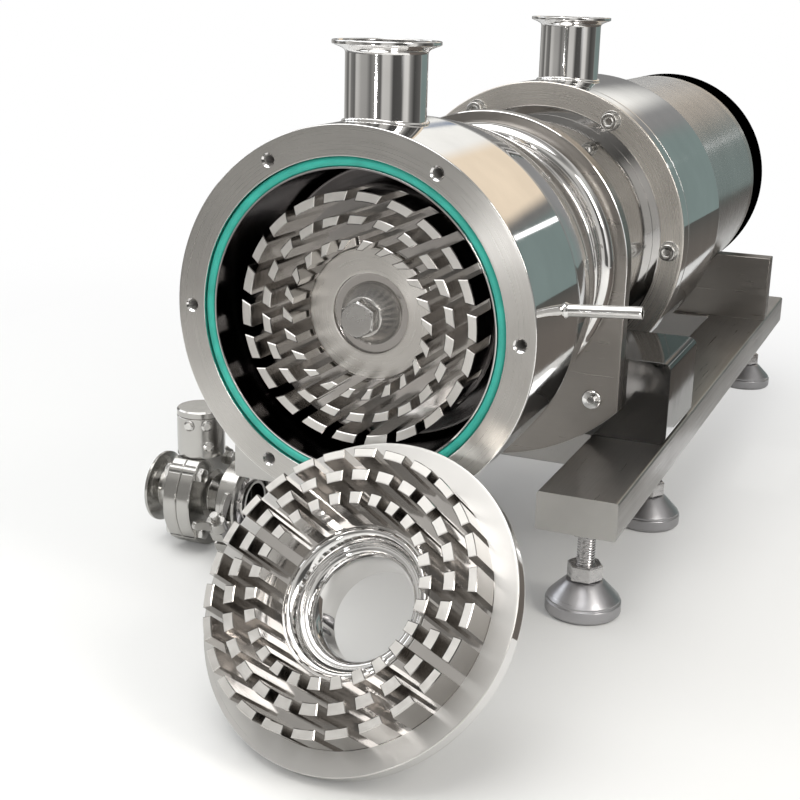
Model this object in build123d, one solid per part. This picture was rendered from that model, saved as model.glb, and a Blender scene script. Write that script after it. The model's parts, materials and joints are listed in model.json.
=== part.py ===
from build123d import *
from math import cos, radians, sin, sqrt
import os

os.makedirs("parts", exist_ok=True)

# Single-stage inline emulsifying pump with its front stator taken off, in millimetres.
# The shaft lies along Y: y = 0 is the chamber's front face, +Y runs to the back, +Z is up.

# Clearances
seat_gap = 0.3            # between neighbouring castings, and round things that only pass near
pin_gap = 0.05            # radial, a shaft or bolt in the hole that guides it
weld_gap = 0.1            # between a welded tube's foot and the wall that it stands on

# Chamber casing
chamber_radius = 90.0
chamber_bore_radius = 70.2
chamber_straight = 64.6   # length of the cylindrical part of the outside
chamber_length = 99.0
chamber_end_radius = 85.5
chamber_wall_front = 58.0
chamber_wall = 12.0
taper_curve_radius = 630.0
lip_radius = 71.2
lip_setback = 1.5
groove_radius = 75.9
groove_depth = 5.3
face_seal_section = 4.4
cover_hole_edge = 7.5     # from the casing's outside to the holes' circle
cover_hole_count = 6
m6_tap_radius = 2.5
m6_clear_radius = 3.3
m6_tap_depth = 16.0

# Chamber back, seal housing and bracket plate
back_length = 61.0
back_end_radius = 72.9
back_bore_radius = 56.0
seal_neck_radius = 70.0
seal_neck_length = 8.0
bead_radius = 78.0
bead_width = 12.4
seal_bore_radius = 36.0
plate_thickness = 10.0
plate_top_radius = 83.7
plate_foot_radius = 115.8
plate_bore_radius = 40.0
plate_bolt_z = -73.8

# Bearing housing, mounting flange and rear casing
flange_radius = 95.0
flange_step = 20.0        # from the flange's edge down to the neck
housing_radius = flange_radius - flange_step
housing_length = 86.6
housing_wall = 8.0
bearing_tube_radius = 38.0
flange_thickness = 14.0
flange_recess_width = 5.5  # of the groove round the neck, in the flange's face
flange_recess_depth = 3.0
flange_bore_radius = 34.0
flange_screw_edge = 8.6   # from the flange's edge to the screws' circle
flange_screw_count = 6
flange_screw_turn = -1.4
rear_length = 100.0
rear_shell_wall = 15.0
rear_wall = 12.0

# Ports: tri-clamp ferrules on tube
tube_radius = 19.05
tube_wall = 1.65
ferrule_radius = 25.25
ferrule_edge = 1.6
ferrule_cone = 1.7
outlet_y = 37.4
outlet_top = 124.7
rear_port_y = 330.1
rear_port_top = 132.6
drain_radius = 2.9
drain_bore_radius = 1.9
drain_y = 43.0
drain_z = 8.0
drain_reach = 125.3
drain_rise = 4.3

# Shaft, bearings and shaft seal
shaft_radius = 15.0
shaft_nose_radius = 12.5
shaft_nose_front = 27.4
shaft_shoulder = 50.0
shaft_end = 624.0
bearing_outer_radius = 31.0
bearing_ball_circle_radius = 23.0
bearing_width = 16.0
front_bearing_y = 198.0
middle_bearing_y = 254.0
seal_seat_radius = 26.0
seal_face_y = 66.0
seal_ring_radius = 23.0
seal_ring_length = 8.0
bellows_length = 18.0
bellows_folds = 3
key_width = 6.0
key_length = 18.0

# Rotor
rotor_tip = 7.6
rotor_root = 27.0
rotor_back = 37.0
rotor_outer_radius = 59.8
rotor_tooth_count = 22
rotor_slot_offset = 21.7
rotor_slot_width = 4.6
rotor_slot_turn = 5.6
rotor_hub_radius = 31.75
rotor_hub_front = 24.4
rotor_pocket_radius = 19.4
rotor_pocket_depth = 2.0
rotor_back_hub_radius = 22.0
outer_ring_wall = 4.6
middle_ring_outer = 48.9
middle_ring_wall = 4.3
inner_ring_outer = 37.9
inner_ring_wall = 5.0
washer_radius = 15.1
washer_nose_radius = 9.5
washer_front = 15.5
head_across_flats = 16.0
head_front = 8.4
bolt_radius = 5.0
bolt_reach = 24.0

# Stator, standing on the floor in front of the chamber's face, leaning back
stator_rim_radius = 75.6
stator_rim = 8.0
stator_tooth_height = 19.5
stator_tooth_count = 26
stator_slot_width = 4.6
stator_slot_turn = 4.0
mesh_gap = 0.6            # radial, between a rotor ring and the stator ring beside it
stator_outer_edge = 64.5
stator_inner_edge = 38.5
stator_bore_radius = 23.0
stator_lip_radius = 34.5
stator_throat_radius = 29.0
stator_tube_wall = 4.0
stator_tube_depth = 28.0
stator_boss_radius = 46.0
stator_boss_wall = 6.0
stator_boss_depth = 20.0
stator_x = 30.7
stator_lean = 39.4        # degrees that the toothed face looks up from the horizontal
stator_heading = -9.0     # degrees that it is turned from looking straight forward

# Base
floor_z = -172.2
rail_top = -98.6
rail_height = 20.9
rail_width = 43.3
rail_inner_x = 67.2
rail_front = 87.4
rail_length = 552.6
rail_wall = 2.0
foot_pitch_from_front = 25.5
foot_spacing = 144.5
foot_row_count = 3
cross_width = 30.0
front_cross_y = 192.0
block_step = 17.0         # from the neck's side in to the blocks' inner faces
block_inner_x = housing_radius - block_step
plate_bolt_inset = 10.8   # from a block's inner face to its bolt
plate_bolt_x = block_inner_x + plate_bolt_inset
block_length = 70.0
block_height = 48.1
block_round = 5.0
saddle_thickness = 14.0
saddle_height = 50.0

# Levelling feet
stem_radius = 5.0
foot_across_flats = 17.0
foot_hex_height = 9.0
foot_nut_height = 8.0
pad_radius = 20.5
pad_height = 19.0
pad_band = 8.0
pad_neck_radius = 9.5
foot_screw_up = 8.0       # how far a foot can be screwed in from where it stands

# Motor behind the rear casing
motor_flange_radius = 92.0
motor_flange_thickness = 13.0
motor_radius = 84.0
motor_wall = 5.0
motor_length = 178.0
motor_core_radius = 50.6
motor_core_length = 90.0
motor_winding_reach = 20.0
motor_air_gap = 0.8
end_shield_thickness = 12.0
fan_cover_length = 48.0
fan_cover_wall = 2.0
fan_radius = 70.0
fan_width = 22.0
fan_blade_count = 7
grille_ring_count = 4

# Butterfly valve beside the pump
valve_x = -145.0
valve_y = 108.0
valve_body_radius = 30.0
valve_axis_z = floor_z + valve_body_radius
valve_half = 8.7
valve_reach = 27.0
valve_ferrule_radius = 20.9
valve_tube_radius = 12.7
valve_bore_radius = 11.0
valve_seat_radius = 16.0
valve_seat_width = 12.0
valve_disc_thickness = 3.6
valve_stem_radius = 4.0
valve_bolt_edge = 5.5     # from the body's outside to the bolts' circle
valve_bolt_radius = 2.5
valve_ear_radius = 5.8
hub_radius = 13.9
hub_base = 25.6           # height of the hub's foot over the pipe axis
hub_height = 27.8
lever_radius = 4.0
lever_length = 95.0
clamp_width = 12.0
clamp_wall = 3.0
clamp_lug_height = 8.0    # of the clamp's lug over and under its split
clamp_bolt_radius = 2.5
clamp_bolt_length = 28.0
clamp_turn = 30.0         # degrees that the clamp's bolt leans to the front
wing_turn = 70.0          # degrees that the wings are turned from the pipe axis
stub_length = 7.6

# Positions along the shaft that follow from the lengths
back_start = chamber_length + seat_gap
back_end = back_start + back_length
seal_start = back_end + seat_gap
seal_end = seal_start + seal_neck_length + bead_width
plate_front = seal_end
plate_back = plate_front + plate_thickness
housing_start = plate_back
housing_end = housing_start + housing_length
flange_front = housing_end - flange_recess_depth
flange_back = flange_front + flange_thickness
rear_start = flange_back + seat_gap
rear_end = rear_start + rear_length
motor_flange_start = rear_end
motor_flange_end = motor_flange_start + motor_flange_thickness
motor_start = motor_flange_end + seat_gap
motor_end = motor_start + motor_length
shield_start = motor_end
shield_end = shield_start + end_shield_thickness
fan_cover_start = shield_end
fan_cover_end = fan_cover_start + fan_cover_length
rail_bottom = rail_top - rail_height
rail_outer_x = rail_inner_x + rail_width
rail_centre_x = rail_inner_x + rail_width / 2


def turned(points):
    """A solid turned about the shaft from a closed outline of (radius, y) points."""
    return revolve(make_face(Polyline(points, close=True)), Axis.Y)


def ring(inner, outer, start, end):
    """A plain ring or, with no inner radius, a plain disc about the shaft."""
    return turned([(inner, start), (outer, start), (outer, end), (inner, end)])


def along_y(radius, start, end, x=0.0, z=0.0):
    """A round rod parallel to the shaft."""
    rod = Cylinder(radius, end - start, align=(Align.CENTER, Align.CENTER, Align.MIN))
    return Pos(x, start, z) * Rot(-90, 0, 0) * rod


def upright(radius, bottom, top, x=0.0, y=0.0):
    """A round rod that stands upright."""
    rod = Cylinder(radius, top - bottom, align=(Align.CENTER, Align.CENTER, Align.MIN))
    return Pos(x, y, bottom) * rod


def box_between(low, high):
    """A block given by two opposite corners."""
    size = [b - a for a, b in zip(low, high)]
    return Pos(*low) * Box(*size, align=(Align.MIN, Align.MIN, Align.MIN))


def circle_places(count, radius, first=0.0):
    """Evenly spaced (x, z) places on a circle about the shaft."""
    steps = [radians(first + 360 * k / count) for k in range(count)]
    return [(radius * cos(a), radius * sin(a)) for a in steps]


def write(name, shape):
    """Write one node's solids."""
    export_step(shape, f"parts/{name}.step")


# Chamber casing: one turned piece, open to the front, with the register for the front stator
# and its seal ring in the face, six tapped holes, a port on top and a drain hole at the side.
taper = (RadiusArc((chamber_radius, chamber_straight), (chamber_end_radius, chamber_length),
                   -taper_curve_radius))
pocket_start = chamber_wall_front + chamber_wall
casing_line = Polyline((chamber_end_radius, chamber_length), (back_bore_radius, chamber_length),
                       (back_bore_radius, pocket_start), (seal_seat_radius + pin_gap, pocket_start),
                       (seal_seat_radius + pin_gap, chamber_wall_front),
                       (chamber_bore_radius, chamber_wall_front),
                       (chamber_bore_radius, lip_setback), (lip_radius, lip_setback),
                       (lip_radius, groove_depth), (groove_radius, groove_depth),
                       (groove_radius, 0), (chamber_radius, 0),
                       (chamber_radius, chamber_straight))
chamber_casing = revolve(make_face(taper + casing_line), Axis.Y)
cover_places = circle_places(cover_hole_count, chamber_radius - cover_hole_edge)
for x, z in cover_places:
    chamber_casing -= along_y(m6_tap_radius, -1, m6_tap_depth, x, z)
tube_bore_radius = tube_radius - tube_wall
chamber_casing -= upright(tube_bore_radius, 0, chamber_radius + 1, 0, outlet_y)
drain_root = sqrt(chamber_radius ** 2 - drain_z ** 2)
drain_line = Pos(drain_root, drain_y, drain_z) * Rot(0, 90 - drain_rise, 0)
chamber_casing -= drain_line * Cylinder(drain_bore_radius, 2 * (chamber_radius - chamber_bore_radius) + 4)
write("chamber_casing", chamber_casing)

# Seal ring lying in the groove round the chamber's mouth.
face_seal_y = groove_depth - weld_gap - face_seal_section / 2
face_seal_circle = (lip_radius + groove_radius) / 2
face_seal_ring = Pos(0, face_seal_y, 0) * Rot(90, 0, 0) * Torus(face_seal_circle, face_seal_section / 2)
write("face_seal_ring", face_seal_ring)


def port(top, foot_radius, y):
    """A tube with a clamp ferrule at its top, its foot cut to sit on a casing."""
    cone_foot = tube_radius + 2.0
    groove = tube_bore_radius + 4.4
    profile = [(tube_bore_radius, 0), (tube_radius, 0),
               (tube_radius, top - ferrule_edge - ferrule_cone - 1.2),
               (cone_foot, top - ferrule_edge - ferrule_cone),
               (ferrule_radius - 0.3, top - ferrule_edge), (ferrule_radius, top - ferrule_edge + 0.3),
               (ferrule_radius, top - 0.3), (ferrule_radius - 0.3, top),
               (groove + 1.3, top), (groove + 0.9, top - 0.9), (groove - 0.9, top - 0.9),
               (groove - 1.3, top), (tube_bore_radius, top)]
    face = make_face(Plane.XZ * Polyline(profile, close=True))
    tube = Pos(0, y, 0) * revolve(face, Axis.Z)
    reach = 2 * ferrule_radius
    return tube - along_y(foot_radius + weld_gap, y - reach, y + reach)


outlet_nozzle = port(outlet_top, chamber_radius, outlet_y)
write("outlet_nozzle", outlet_nozzle)

# Small open drain tube, welded to the side of the casing and rising slightly outwards.
drain_length = (drain_reach - drain_root) / cos(radians(drain_rise))
drain_blank = Cylinder(drain_radius, drain_length + 6, align=(Align.CENTER, Align.CENTER, Align.MIN))
drain_hole = Cylinder(drain_bore_radius, drain_length + 6, align=(Align.CENTER, Align.CENTER, Align.MIN))
drain_tube = drain_line * Pos(0, 0, -6) * (drain_blank - drain_hole)
drain_tube -= along_y(chamber_radius + weld_gap, drain_y - 10, drain_y + 10)
write("drain_tube", drain_tube)

# Chamber back: the tapered intermediate housing that closes the casing's rear pocket.
back_outline = (RadiusArc((chamber_end_radius, back_start), (back_end_radius, back_end), -taper_curve_radius)
                + Polyline((back_end_radius, back_end), (back_bore_radius, back_end),
                           (back_bore_radius, back_start), (chamber_end_radius, back_start)))
chamber_back = revolve(make_face(back_outline), Axis.Y)
write("chamber_back", chamber_back)

# Seal housing: a short neck and a polished half-round bead in front of the bracket plate.
bead_start = seal_start + seal_neck_length
bead_middle = (bead_radius, bead_start + bead_width / 2)
bead_line = ThreePointArc((seal_neck_radius + 2, bead_start), bead_middle, (seal_neck_radius + 2, seal_end))
seal_housing_outline = bead_line + Polyline((seal_neck_radius + 2, seal_end), (seal_bore_radius, seal_end),
                                            (seal_bore_radius, seal_start), (seal_neck_radius, seal_start),
                                            (seal_neck_radius, bead_start),
                                            (seal_neck_radius + 2, bead_start))
seal_housing = revolve(make_face(seal_housing_outline), Axis.Y)
write("seal_housing", seal_housing)

# Bracket plate: round top, straight sides and a foot arc, carried on the two pedestal blocks.
upward = Plane(origin=(0, plate_front, 0), x_dir=(1, 0, 0), z_dir=(0, -1, 0))
plate_sides = Pos(0, -plate_foot_radius / 2) * Rectangle(2 * plate_top_radius, plate_foot_radius)
plate_outline = (Circle(plate_top_radius) + plate_sides) & Circle(plate_foot_radius)
plate_outline -= Circle(plate_bore_radius)
bracket_plate = extrude(upward * plate_outline, amount=-plate_thickness)
bolt_places = [(-plate_bolt_x, plate_bolt_z), (plate_bolt_x, plate_bolt_z)]
for x, z in bolt_places:
    bracket_plate -= along_y(m6_clear_radius, plate_front - 1, plate_back + 1, x, z)
write("bracket_plate", bracket_plate)

# Round-headed bolts that hold the plate to the blocks.
button_radius = 5.6
button_height = 3.3
button_depth = 22.0
bolt_shapes = []
for x, z in bolt_places:
    dome = [(0, -button_height), (button_radius * 0.55, -button_height),
            (button_radius, -button_height * 0.35), (button_radius, -weld_gap), (0, -weld_gap)]
    head = turned(dome) - along_y(2.0, -button_height - 1, -button_height + 1.8)
    screw = Pos(x, plate_front, z) * (head + along_y(m6_tap_radius, -weld_gap, button_depth))
    bolt_shapes.append(screw)
write("bracket_bolts", Compound(children=bolt_shapes))

# Bearing housing: the polished neck, with the bearing tube inside it.
pocket_depth = housing_length - 3 * housing_wall
front_seat_end = front_bearing_y + bearing_width + seat_gap
middle_seat = middle_bearing_y - seat_gap
bearing_bore = bearing_outer_radius + pin_gap
throat = bearing_outer_radius - 4
housing_profile = [(housing_radius, housing_start), (housing_radius, housing_end),
                   (bearing_bore, housing_end), (bearing_bore, middle_seat), (throat, middle_seat),
                   (throat, front_seat_end), (bearing_bore, front_seat_end),
                   (bearing_bore, housing_start), (bearing_tube_radius, housing_start),
                   (bearing_tube_radius, housing_start + pocket_depth),
                   (housing_radius - housing_wall, housing_start + pocket_depth),
                   (housing_radius - housing_wall, housing_start)]
bearing_housing = turned(housing_profile)
grease_angle = 52
grease_point = Rot(0, -grease_angle, 0) * Pos(housing_radius, (plate_back + flange_front) / 2 - 9, 0)
bearing_housing -= grease_point * Rot(0, 90, 0) * Cylinder(2.2, 6)
write("bearing_housing", bearing_housing)

# Mounting flange, with a recess that takes the neck, and its six cap screws with washers.
flange_recess_radius = housing_radius + flange_recess_width
flange_profile = [(flange_bore_radius, flange_back), (flange_radius, flange_back),
                  (flange_radius, flange_front + 0.8), (flange_radius - 0.8, flange_front),
                  (flange_recess_radius, flange_front), (flange_recess_radius, housing_end),
                  (flange_bore_radius, housing_end)]
mounting_flange = turned(flange_profile)
flange_places = circle_places(flange_screw_count, flange_radius - flange_screw_edge, flange_screw_turn)
for x, z in flange_places:
    mounting_flange -= along_y(m6_clear_radius, flange_front - 1, flange_back + 1, x, z)
write("mounting_flange", mounting_flange)

cap_head_radius = 5.0
cap_head_height = 6.0
socket_radius = 2.9
washer_outer = 6.2
washer_thickness = 1.2
screw_reach = flange_thickness + 10
screw_shapes = []
washer_shapes = []
for x, z in flange_places:
    under_head = -washer_thickness - weld_gap
    head = ring(0, cap_head_radius, under_head - cap_head_height, under_head)
    socket = extrude(Plane.XZ * RegularPolygon(socket_radius, 6), amount=3)
    head -= Pos(0, under_head - cap_head_height + 3, 0) * socket
    screw = head + along_y(m6_tap_radius, under_head, screw_reach)
    screw_shapes.append(Pos(x, flange_front, z) * screw)
    washer = ring(m6_tap_radius + seat_gap, washer_outer, -washer_thickness, 0)
    washer_shapes.append(Pos(x, flange_front, z) * washer)
write("flange_screws", Compound(children=screw_shapes))
write("flange_washers", Compound(children=washer_shapes))

# Rear casing: the polished cylinder behind the flange, with a port of its own on top.
rear_inner_end = rear_end - rear_wall
rear_bore_radius = flange_radius - rear_shell_wall
rear_casing = turned([(rear_bore_radius, rear_start), (flange_radius, rear_start),
                      (flange_radius, rear_end), (shaft_radius + 4, rear_end),
                      (shaft_radius + 4, rear_inner_end), (rear_bore_radius, rear_inner_end)])
for x, z in flange_places:
    rear_casing -= along_y(m6_tap_radius + pin_gap, rear_start - 1, rear_start + m6_tap_depth, x, z)
rear_casing -= upright(tube_bore_radius, 0, flange_radius + 1, 0, rear_port_y)
write("rear_casing", rear_casing)
rear_nozzle = port(rear_port_top, flange_radius, rear_port_y)
write("rear_nozzle", rear_nozzle)

# Shaft: one piece from the rotor's hub to the fan, with a key for the rotor.
key_half = key_width / 2
key_start = (rotor_back + shaft_nose_front) / 2 - key_length / 2 + 5
key_end = key_start + key_length
key_block = box_between((-key_half, key_start, shaft_nose_radius - key_half),
                        (key_half, key_end, shaft_nose_radius + key_half))
drive_shaft = turned([(bolt_radius + pin_gap, shaft_nose_front), (shaft_nose_radius - 1, shaft_nose_front),
                      (shaft_nose_radius, shaft_nose_front + 1), (shaft_nose_radius, shaft_shoulder),
                      (shaft_radius, shaft_shoulder), (shaft_radius, shaft_end), (0, shaft_end),
                      (0, washer_front + bolt_reach + seat_gap),
                      (bolt_radius + pin_gap, washer_front + bolt_reach + seat_gap)])
key_slot = box_between((-key_half - pin_gap, key_start - pin_gap, shaft_nose_radius - key_half - pin_gap),
                       (key_half + pin_gap, key_end + pin_gap, shaft_nose_radius + key_half + pin_gap))
drive_shaft -= key_slot
write("drive_shaft", drive_shaft)
write("rotor_key", key_block)

# Rotor: three rings of teeth on a disc. The same straight slots cross all three rings, each
# slot lying to one side of the axis, so the teeth lean like saw teeth.
teeth = ring(rotor_outer_radius - outer_ring_wall, rotor_outer_radius, rotor_tip, rotor_root)
teeth += ring(middle_ring_outer - middle_ring_wall, middle_ring_outer, rotor_tip, rotor_root)
teeth += ring(inner_ring_outer - inner_ring_wall, inner_ring_outer, rotor_tip, rotor_root)
slot_start = inner_ring_outer / 2
slot_block = box_between((slot_start, rotor_tip - 1, rotor_slot_offset - rotor_slot_width / 2),
                         (rotor_outer_radius + 2, rotor_root + 0.5, rotor_slot_offset + rotor_slot_width / 2))
slot_blocks = [Rot(0, -rotor_slot_turn - 360 * k / rotor_tooth_count, 0) * slot_block
               for k in range(rotor_tooth_count)]
teeth -= slot_blocks
rotor_disc = turned([(shaft_nose_radius + pin_gap, rotor_hub_front + rotor_pocket_depth),
                     (rotor_pocket_radius, rotor_hub_front + rotor_pocket_depth),
                     (rotor_pocket_radius, rotor_hub_front), (rotor_hub_radius - 0.6, rotor_hub_front),
                     (rotor_hub_radius, rotor_hub_front + 0.6), (rotor_hub_radius, rotor_root),
                     (rotor_outer_radius, rotor_root), (rotor_outer_radius, rotor_back),
                     (rotor_back_hub_radius, rotor_back), (rotor_back_hub_radius, shaft_shoulder),
                     (shaft_nose_radius + pin_gap, shaft_shoulder)])
rotor = rotor_disc + teeth
rotor -= key_slot
write("rotor", rotor)

# Cone-shaped washer and hexagon bolt that clamp the rotor on the shaft's nose.
washer_base = rotor_hub_front + rotor_pocket_depth
rotor_washer = turned([(bolt_radius + pin_gap, washer_base), (washer_radius, washer_base),
                       (washer_radius, washer_base - 1.5), (washer_nose_radius, washer_front),
                       (bolt_radius + pin_gap, washer_front)])
rotor_washer -= box_between((-1.2, washer_front - 1, -washer_radius - 1),
                            (1.2, washer_base - 2, -washer_nose_radius - 2.4))
write("rotor_washer", rotor_washer)


def hexagon(across_flats, height):
    """A hexagon head with its corners chamfered at the far side, standing on z = 0."""
    corner = across_flats / sqrt(3)
    blank = extrude(RegularPolygon(corner, 6), amount=height)
    drop = (corner - across_flats / 2) * 0.6
    crown = make_face(Plane.XZ * Polyline((0, -1), (corner + 1, -1), (corner + 1, height - drop - 0.6),
                                          (across_flats / 2 - 0.4, height), (0, height), close=True))
    return blank & revolve(crown, Axis.Z)


bolt_head = Pos(0, washer_front, 0) * Rot(90, 0, 0) * hexagon(head_across_flats, washer_front - head_front)
rotor_bolt = bolt_head + along_y(bolt_radius, washer_front, washer_front + bolt_reach)
write("rotor_bolt", rotor_bolt)

# Shaft seal: a fixed seat in the casing's wall, and the ring and bellows that turn with the shaft.
seat_start = chamber_wall_front + 1
seal_seat = ring(shaft_radius + 1.5, seal_seat_radius, seat_start, seal_face_y)
write("seal_seat", seal_seat)
seal_ring = ring(shaft_radius + pin_gap, seal_ring_radius, seal_face_y, seal_face_y + seal_ring_length)
write("seal_ring", seal_ring)
bellows_start = seal_face_y + seal_ring_length
bellows_outer = seal_ring_radius - 1
bellows_line = [(shaft_radius + pin_gap, bellows_start)]
fold = bellows_length / (2 * bellows_folds)
for k in range(2 * bellows_folds + 1):
    bellows_line.append((bellows_outer - 4 * (k % 2), bellows_start + k * fold))
bellows_line.append((shaft_radius + pin_gap, bellows_start + bellows_length))
write("seal_bellows", turned(bellows_line))

# Sealed ball bearings: two in the neck, one in the motor's end shield.
rear_bearing_y = shield_start - bearing_width + end_shield_thickness - 2
outer_rings = []
inner_rings = []
for y in (front_bearing_y, middle_bearing_y, rear_bearing_y):
    end = y + bearing_width
    outer_rings.append(ring(bearing_ball_circle_radius + 1, bearing_outer_radius, y, end))
    inner_rings.append(ring(shaft_radius + pin_gap, bearing_ball_circle_radius - 1, y, end))
write("bearing_outer_rings", Compound(children=outer_rings))
write("bearing_inner_rings", Compound(children=inner_rings))

# Motor: flange, shell, wound core, rotor core, end shield, fan and fan cover.
motor_flange = ring(shaft_radius + 4, motor_flange_radius, motor_flange_start, motor_flange_end)
write("motor_flange", motor_flange)
motor_bore = motor_radius - motor_wall
write("motor_shell", ring(motor_bore, motor_radius, motor_start, motor_end))
core_middle = (motor_start + motor_end) / 2
core_start = core_middle - motor_core_length / 2
core_end = core_middle + motor_core_length / 2
winding_step = 3.0
wound_core = turned([(motor_core_radius, core_start), (motor_core_radius + winding_step, core_start),
                     (motor_core_radius + winding_step, core_start - motor_winding_reach),
                     (motor_bore - 3 * winding_step, core_start - motor_winding_reach),
                     (motor_bore - 3 * winding_step, core_start), (motor_bore - pin_gap, core_start),
                     (motor_bore - pin_gap, core_end), (motor_bore - 3 * winding_step, core_end),
                     (motor_bore - 3 * winding_step, core_end + motor_winding_reach),
                     (motor_core_radius + winding_step, core_end + motor_winding_reach),
                     (motor_core_radius + winding_step, core_end), (motor_core_radius, core_end)])
write("motor_wound_core", wound_core)
write("motor_rotor_core", ring(shaft_radius + pin_gap, motor_core_radius - motor_air_gap, core_start, core_end))
shield_hub_start = rear_bearing_y - 2
motor_end_shield = turned([(shaft_radius + 2, shield_end), (motor_radius, shield_end),
                           (motor_radius, shield_start), (bearing_outer_radius + 8, shield_start),
                           (bearing_outer_radius + 8, shield_hub_start),
                           (bearing_outer_radius + pin_gap, shield_hub_start),
                           (bearing_outer_radius + pin_gap, rear_bearing_y + bearing_width),
                           (shaft_radius + 2, rear_bearing_y + bearing_width)])
write("motor_end_shield", motor_end_shield)
fan_start = shield_end + 6
fan_hub_radius = shaft_radius + 8
cooling_fan = ring(shaft_radius + pin_gap, fan_hub_radius, fan_start, fan_start + fan_width)
fan_plate = ring(shaft_radius + pin_gap, fan_radius - 6, fan_start, fan_start + 3)
cooling_fan += fan_plate
blade = box_between((fan_hub_radius - 2, fan_start, -1.2), (fan_radius, fan_start + fan_width, 1.2))
for k in range(fan_blade_count):
    cooling_fan += Rot(0, 360 * k / fan_blade_count, 0) * blade
write("cooling_fan", cooling_fan)
fan_cover = turned([(motor_radius - fan_cover_wall, fan_cover_start), (motor_radius, fan_cover_start),
                    (motor_radius, fan_cover_end - 5), (motor_radius - 5, fan_cover_end),
                    (0, fan_cover_end), (0, fan_cover_end - fan_cover_wall),
                    (motor_radius - 5.8, fan_cover_end - fan_cover_wall),
                    (motor_radius - fan_cover_wall, fan_cover_end - 5.8)])
spoke = 5.0
ring_pitch = (fan_radius - 2 * spoke) / grille_ring_count
for k in range(grille_ring_count):
    inner = 2 * spoke + k * ring_pitch
    opening = ring(inner, inner + ring_pitch - spoke, fan_cover_end - 5, fan_cover_end + 1)
    cross = box_between((-fan_radius, fan_cover_end - 5, -spoke / 2),
                        (fan_radius, fan_cover_end + 1, spoke / 2))
    fan_cover -= opening - cross - Rot(0, 60, 0) * cross - Rot(0, 120, 0) * cross
write("fan_cover", fan_cover)

# Pedestal blocks: polished blocks on the rails behind the plate, under the neck.
block_outer_x = rail_outer_x
blocks = []
for side in (-1, 1):
    low_x, high_x = sorted((side * block_inner_x, side * block_outer_x))
    block = box_between((low_x, plate_back, rail_top),
                        (high_x, plate_back + block_length, rail_top + block_height))
    block = fillet(block.edges().filter_by(Axis.Y), block_round)
    block -= along_y(m6_tap_radius + pin_gap, plate_back - 1, plate_front + button_depth + 1,
                     side * plate_bolt_x, plate_bolt_z)
    blocks.append(block)
write("pedestal_blocks", Compound(children=blocks))

# Base rails: closed rectangular tubes with a hole in the underside over each foot.
foot_rows = [rail_front + foot_pitch_from_front + foot_spacing * k for k in range(foot_row_count)]
foot_rows[-1] = rail_front + rail_length - foot_pitch_from_front
rail_end = rail_front + rail_length


def rail(side):
    """One rail; side is -1 for the left one and 1 for the right one."""
    low_x, high_x = sorted((side * rail_inner_x, side * rail_outer_x))
    outside = box_between((low_x, rail_front, rail_bottom), (high_x, rail_end, rail_top))
    outside = fillet(outside.edges().filter_by(Axis.Y), 1.5)
    inside = box_between((low_x + rail_wall, rail_front + rail_wall, rail_bottom + rail_wall),
                         (high_x - rail_wall, rail_end - rail_wall, rail_top - rail_wall))
    tube = outside - inside
    for y in foot_rows:
        tube -= upright(stem_radius + seat_gap, rail_bottom - 1, rail_bottom + rail_wall + 1,
                        side * rail_centre_x, y)
    return tube


write("base_rails", Compound(children=[rail(-1), rail(1)]))

# Cross members between the rails: one under the blocks, one under the motor's saddle.
saddle_y = motor_start + motor_length * 0.78
cross_tubes = []
for y in (front_cross_y, saddle_y + saddle_thickness / 2 - cross_width / 2):
    tube = box_between((-rail_inner_x, y, rail_bottom), (rail_inner_x, y + cross_width, rail_top))
    tube -= box_between((-rail_inner_x - 1, y + rail_wall, rail_bottom + rail_wall),
                        (rail_inner_x + 1, y + cross_width - rail_wall, rail_top - rail_wall))
    cross_tubes.append(tube)
write("cross_members", Compound(children=cross_tubes))

# Saddle under the motor.
saddle_block = box_between((-rail_outer_x, saddle_y, rail_top),
                           (rail_outer_x, saddle_y + saddle_thickness, rail_top + saddle_height))
motor_saddle = saddle_block - along_y(motor_radius + weld_gap, saddle_y - 1, saddle_y + saddle_thickness + 1)
write("motor_saddle", motor_saddle)

# Levelling feet: a lock nut under the rail, a threaded stem with its hexagon, and a bell pad.
stem_bore = stem_radius + pin_gap
nut_blank = hexagon(foot_across_flats, foot_nut_height) - Cylinder(stem_bore, 4 * foot_nut_height)
foot_nuts = []
foot_number = 0
hex_bottom = floor_z + pad_height
stem_top = rail_top - rail_wall - foot_screw_up - 0.5
pad_face = make_face(Plane.XZ * (
    Polyline((0, 0), (pad_radius - 1.5, 0), (pad_radius, 1.5), (pad_radius, pad_band - 1),
             (pad_radius - 1.0, pad_band), (pad_radius - 0.6, pad_band + 0.8))
    + ThreePointArc((pad_radius - 0.6, pad_band + 0.8), (pad_radius * 0.68, pad_height * 0.76),
                    (pad_neck_radius, pad_height))
    + Polyline((pad_neck_radius, pad_height), (stem_bore, pad_height), (stem_bore, pad_height - 10),
               (0, pad_height - 10), (0, 0))))
pad_blank = revolve(pad_face, Axis.Z)
for y in foot_rows:
    for side in (-1, 1):
        foot_number += 1
        foot_x = side * rail_centre_x
        foot_nuts.append(Pos(foot_x, y, rail_bottom - foot_nut_height) * nut_blank)
        stem = upright(stem_radius, hex_bottom - 9.5, stem_top, foot_x, y)
        stem += Pos(foot_x, y, hex_bottom + weld_gap) * hexagon(foot_across_flats, foot_hex_height)
        write(f"foot_{foot_number}_stem", stem)
        write(f"foot_{foot_number}_pad", Pos(foot_x, y, floor_z) * pad_blank)
write("foot_nuts", Compound(children=foot_nuts))

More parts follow.
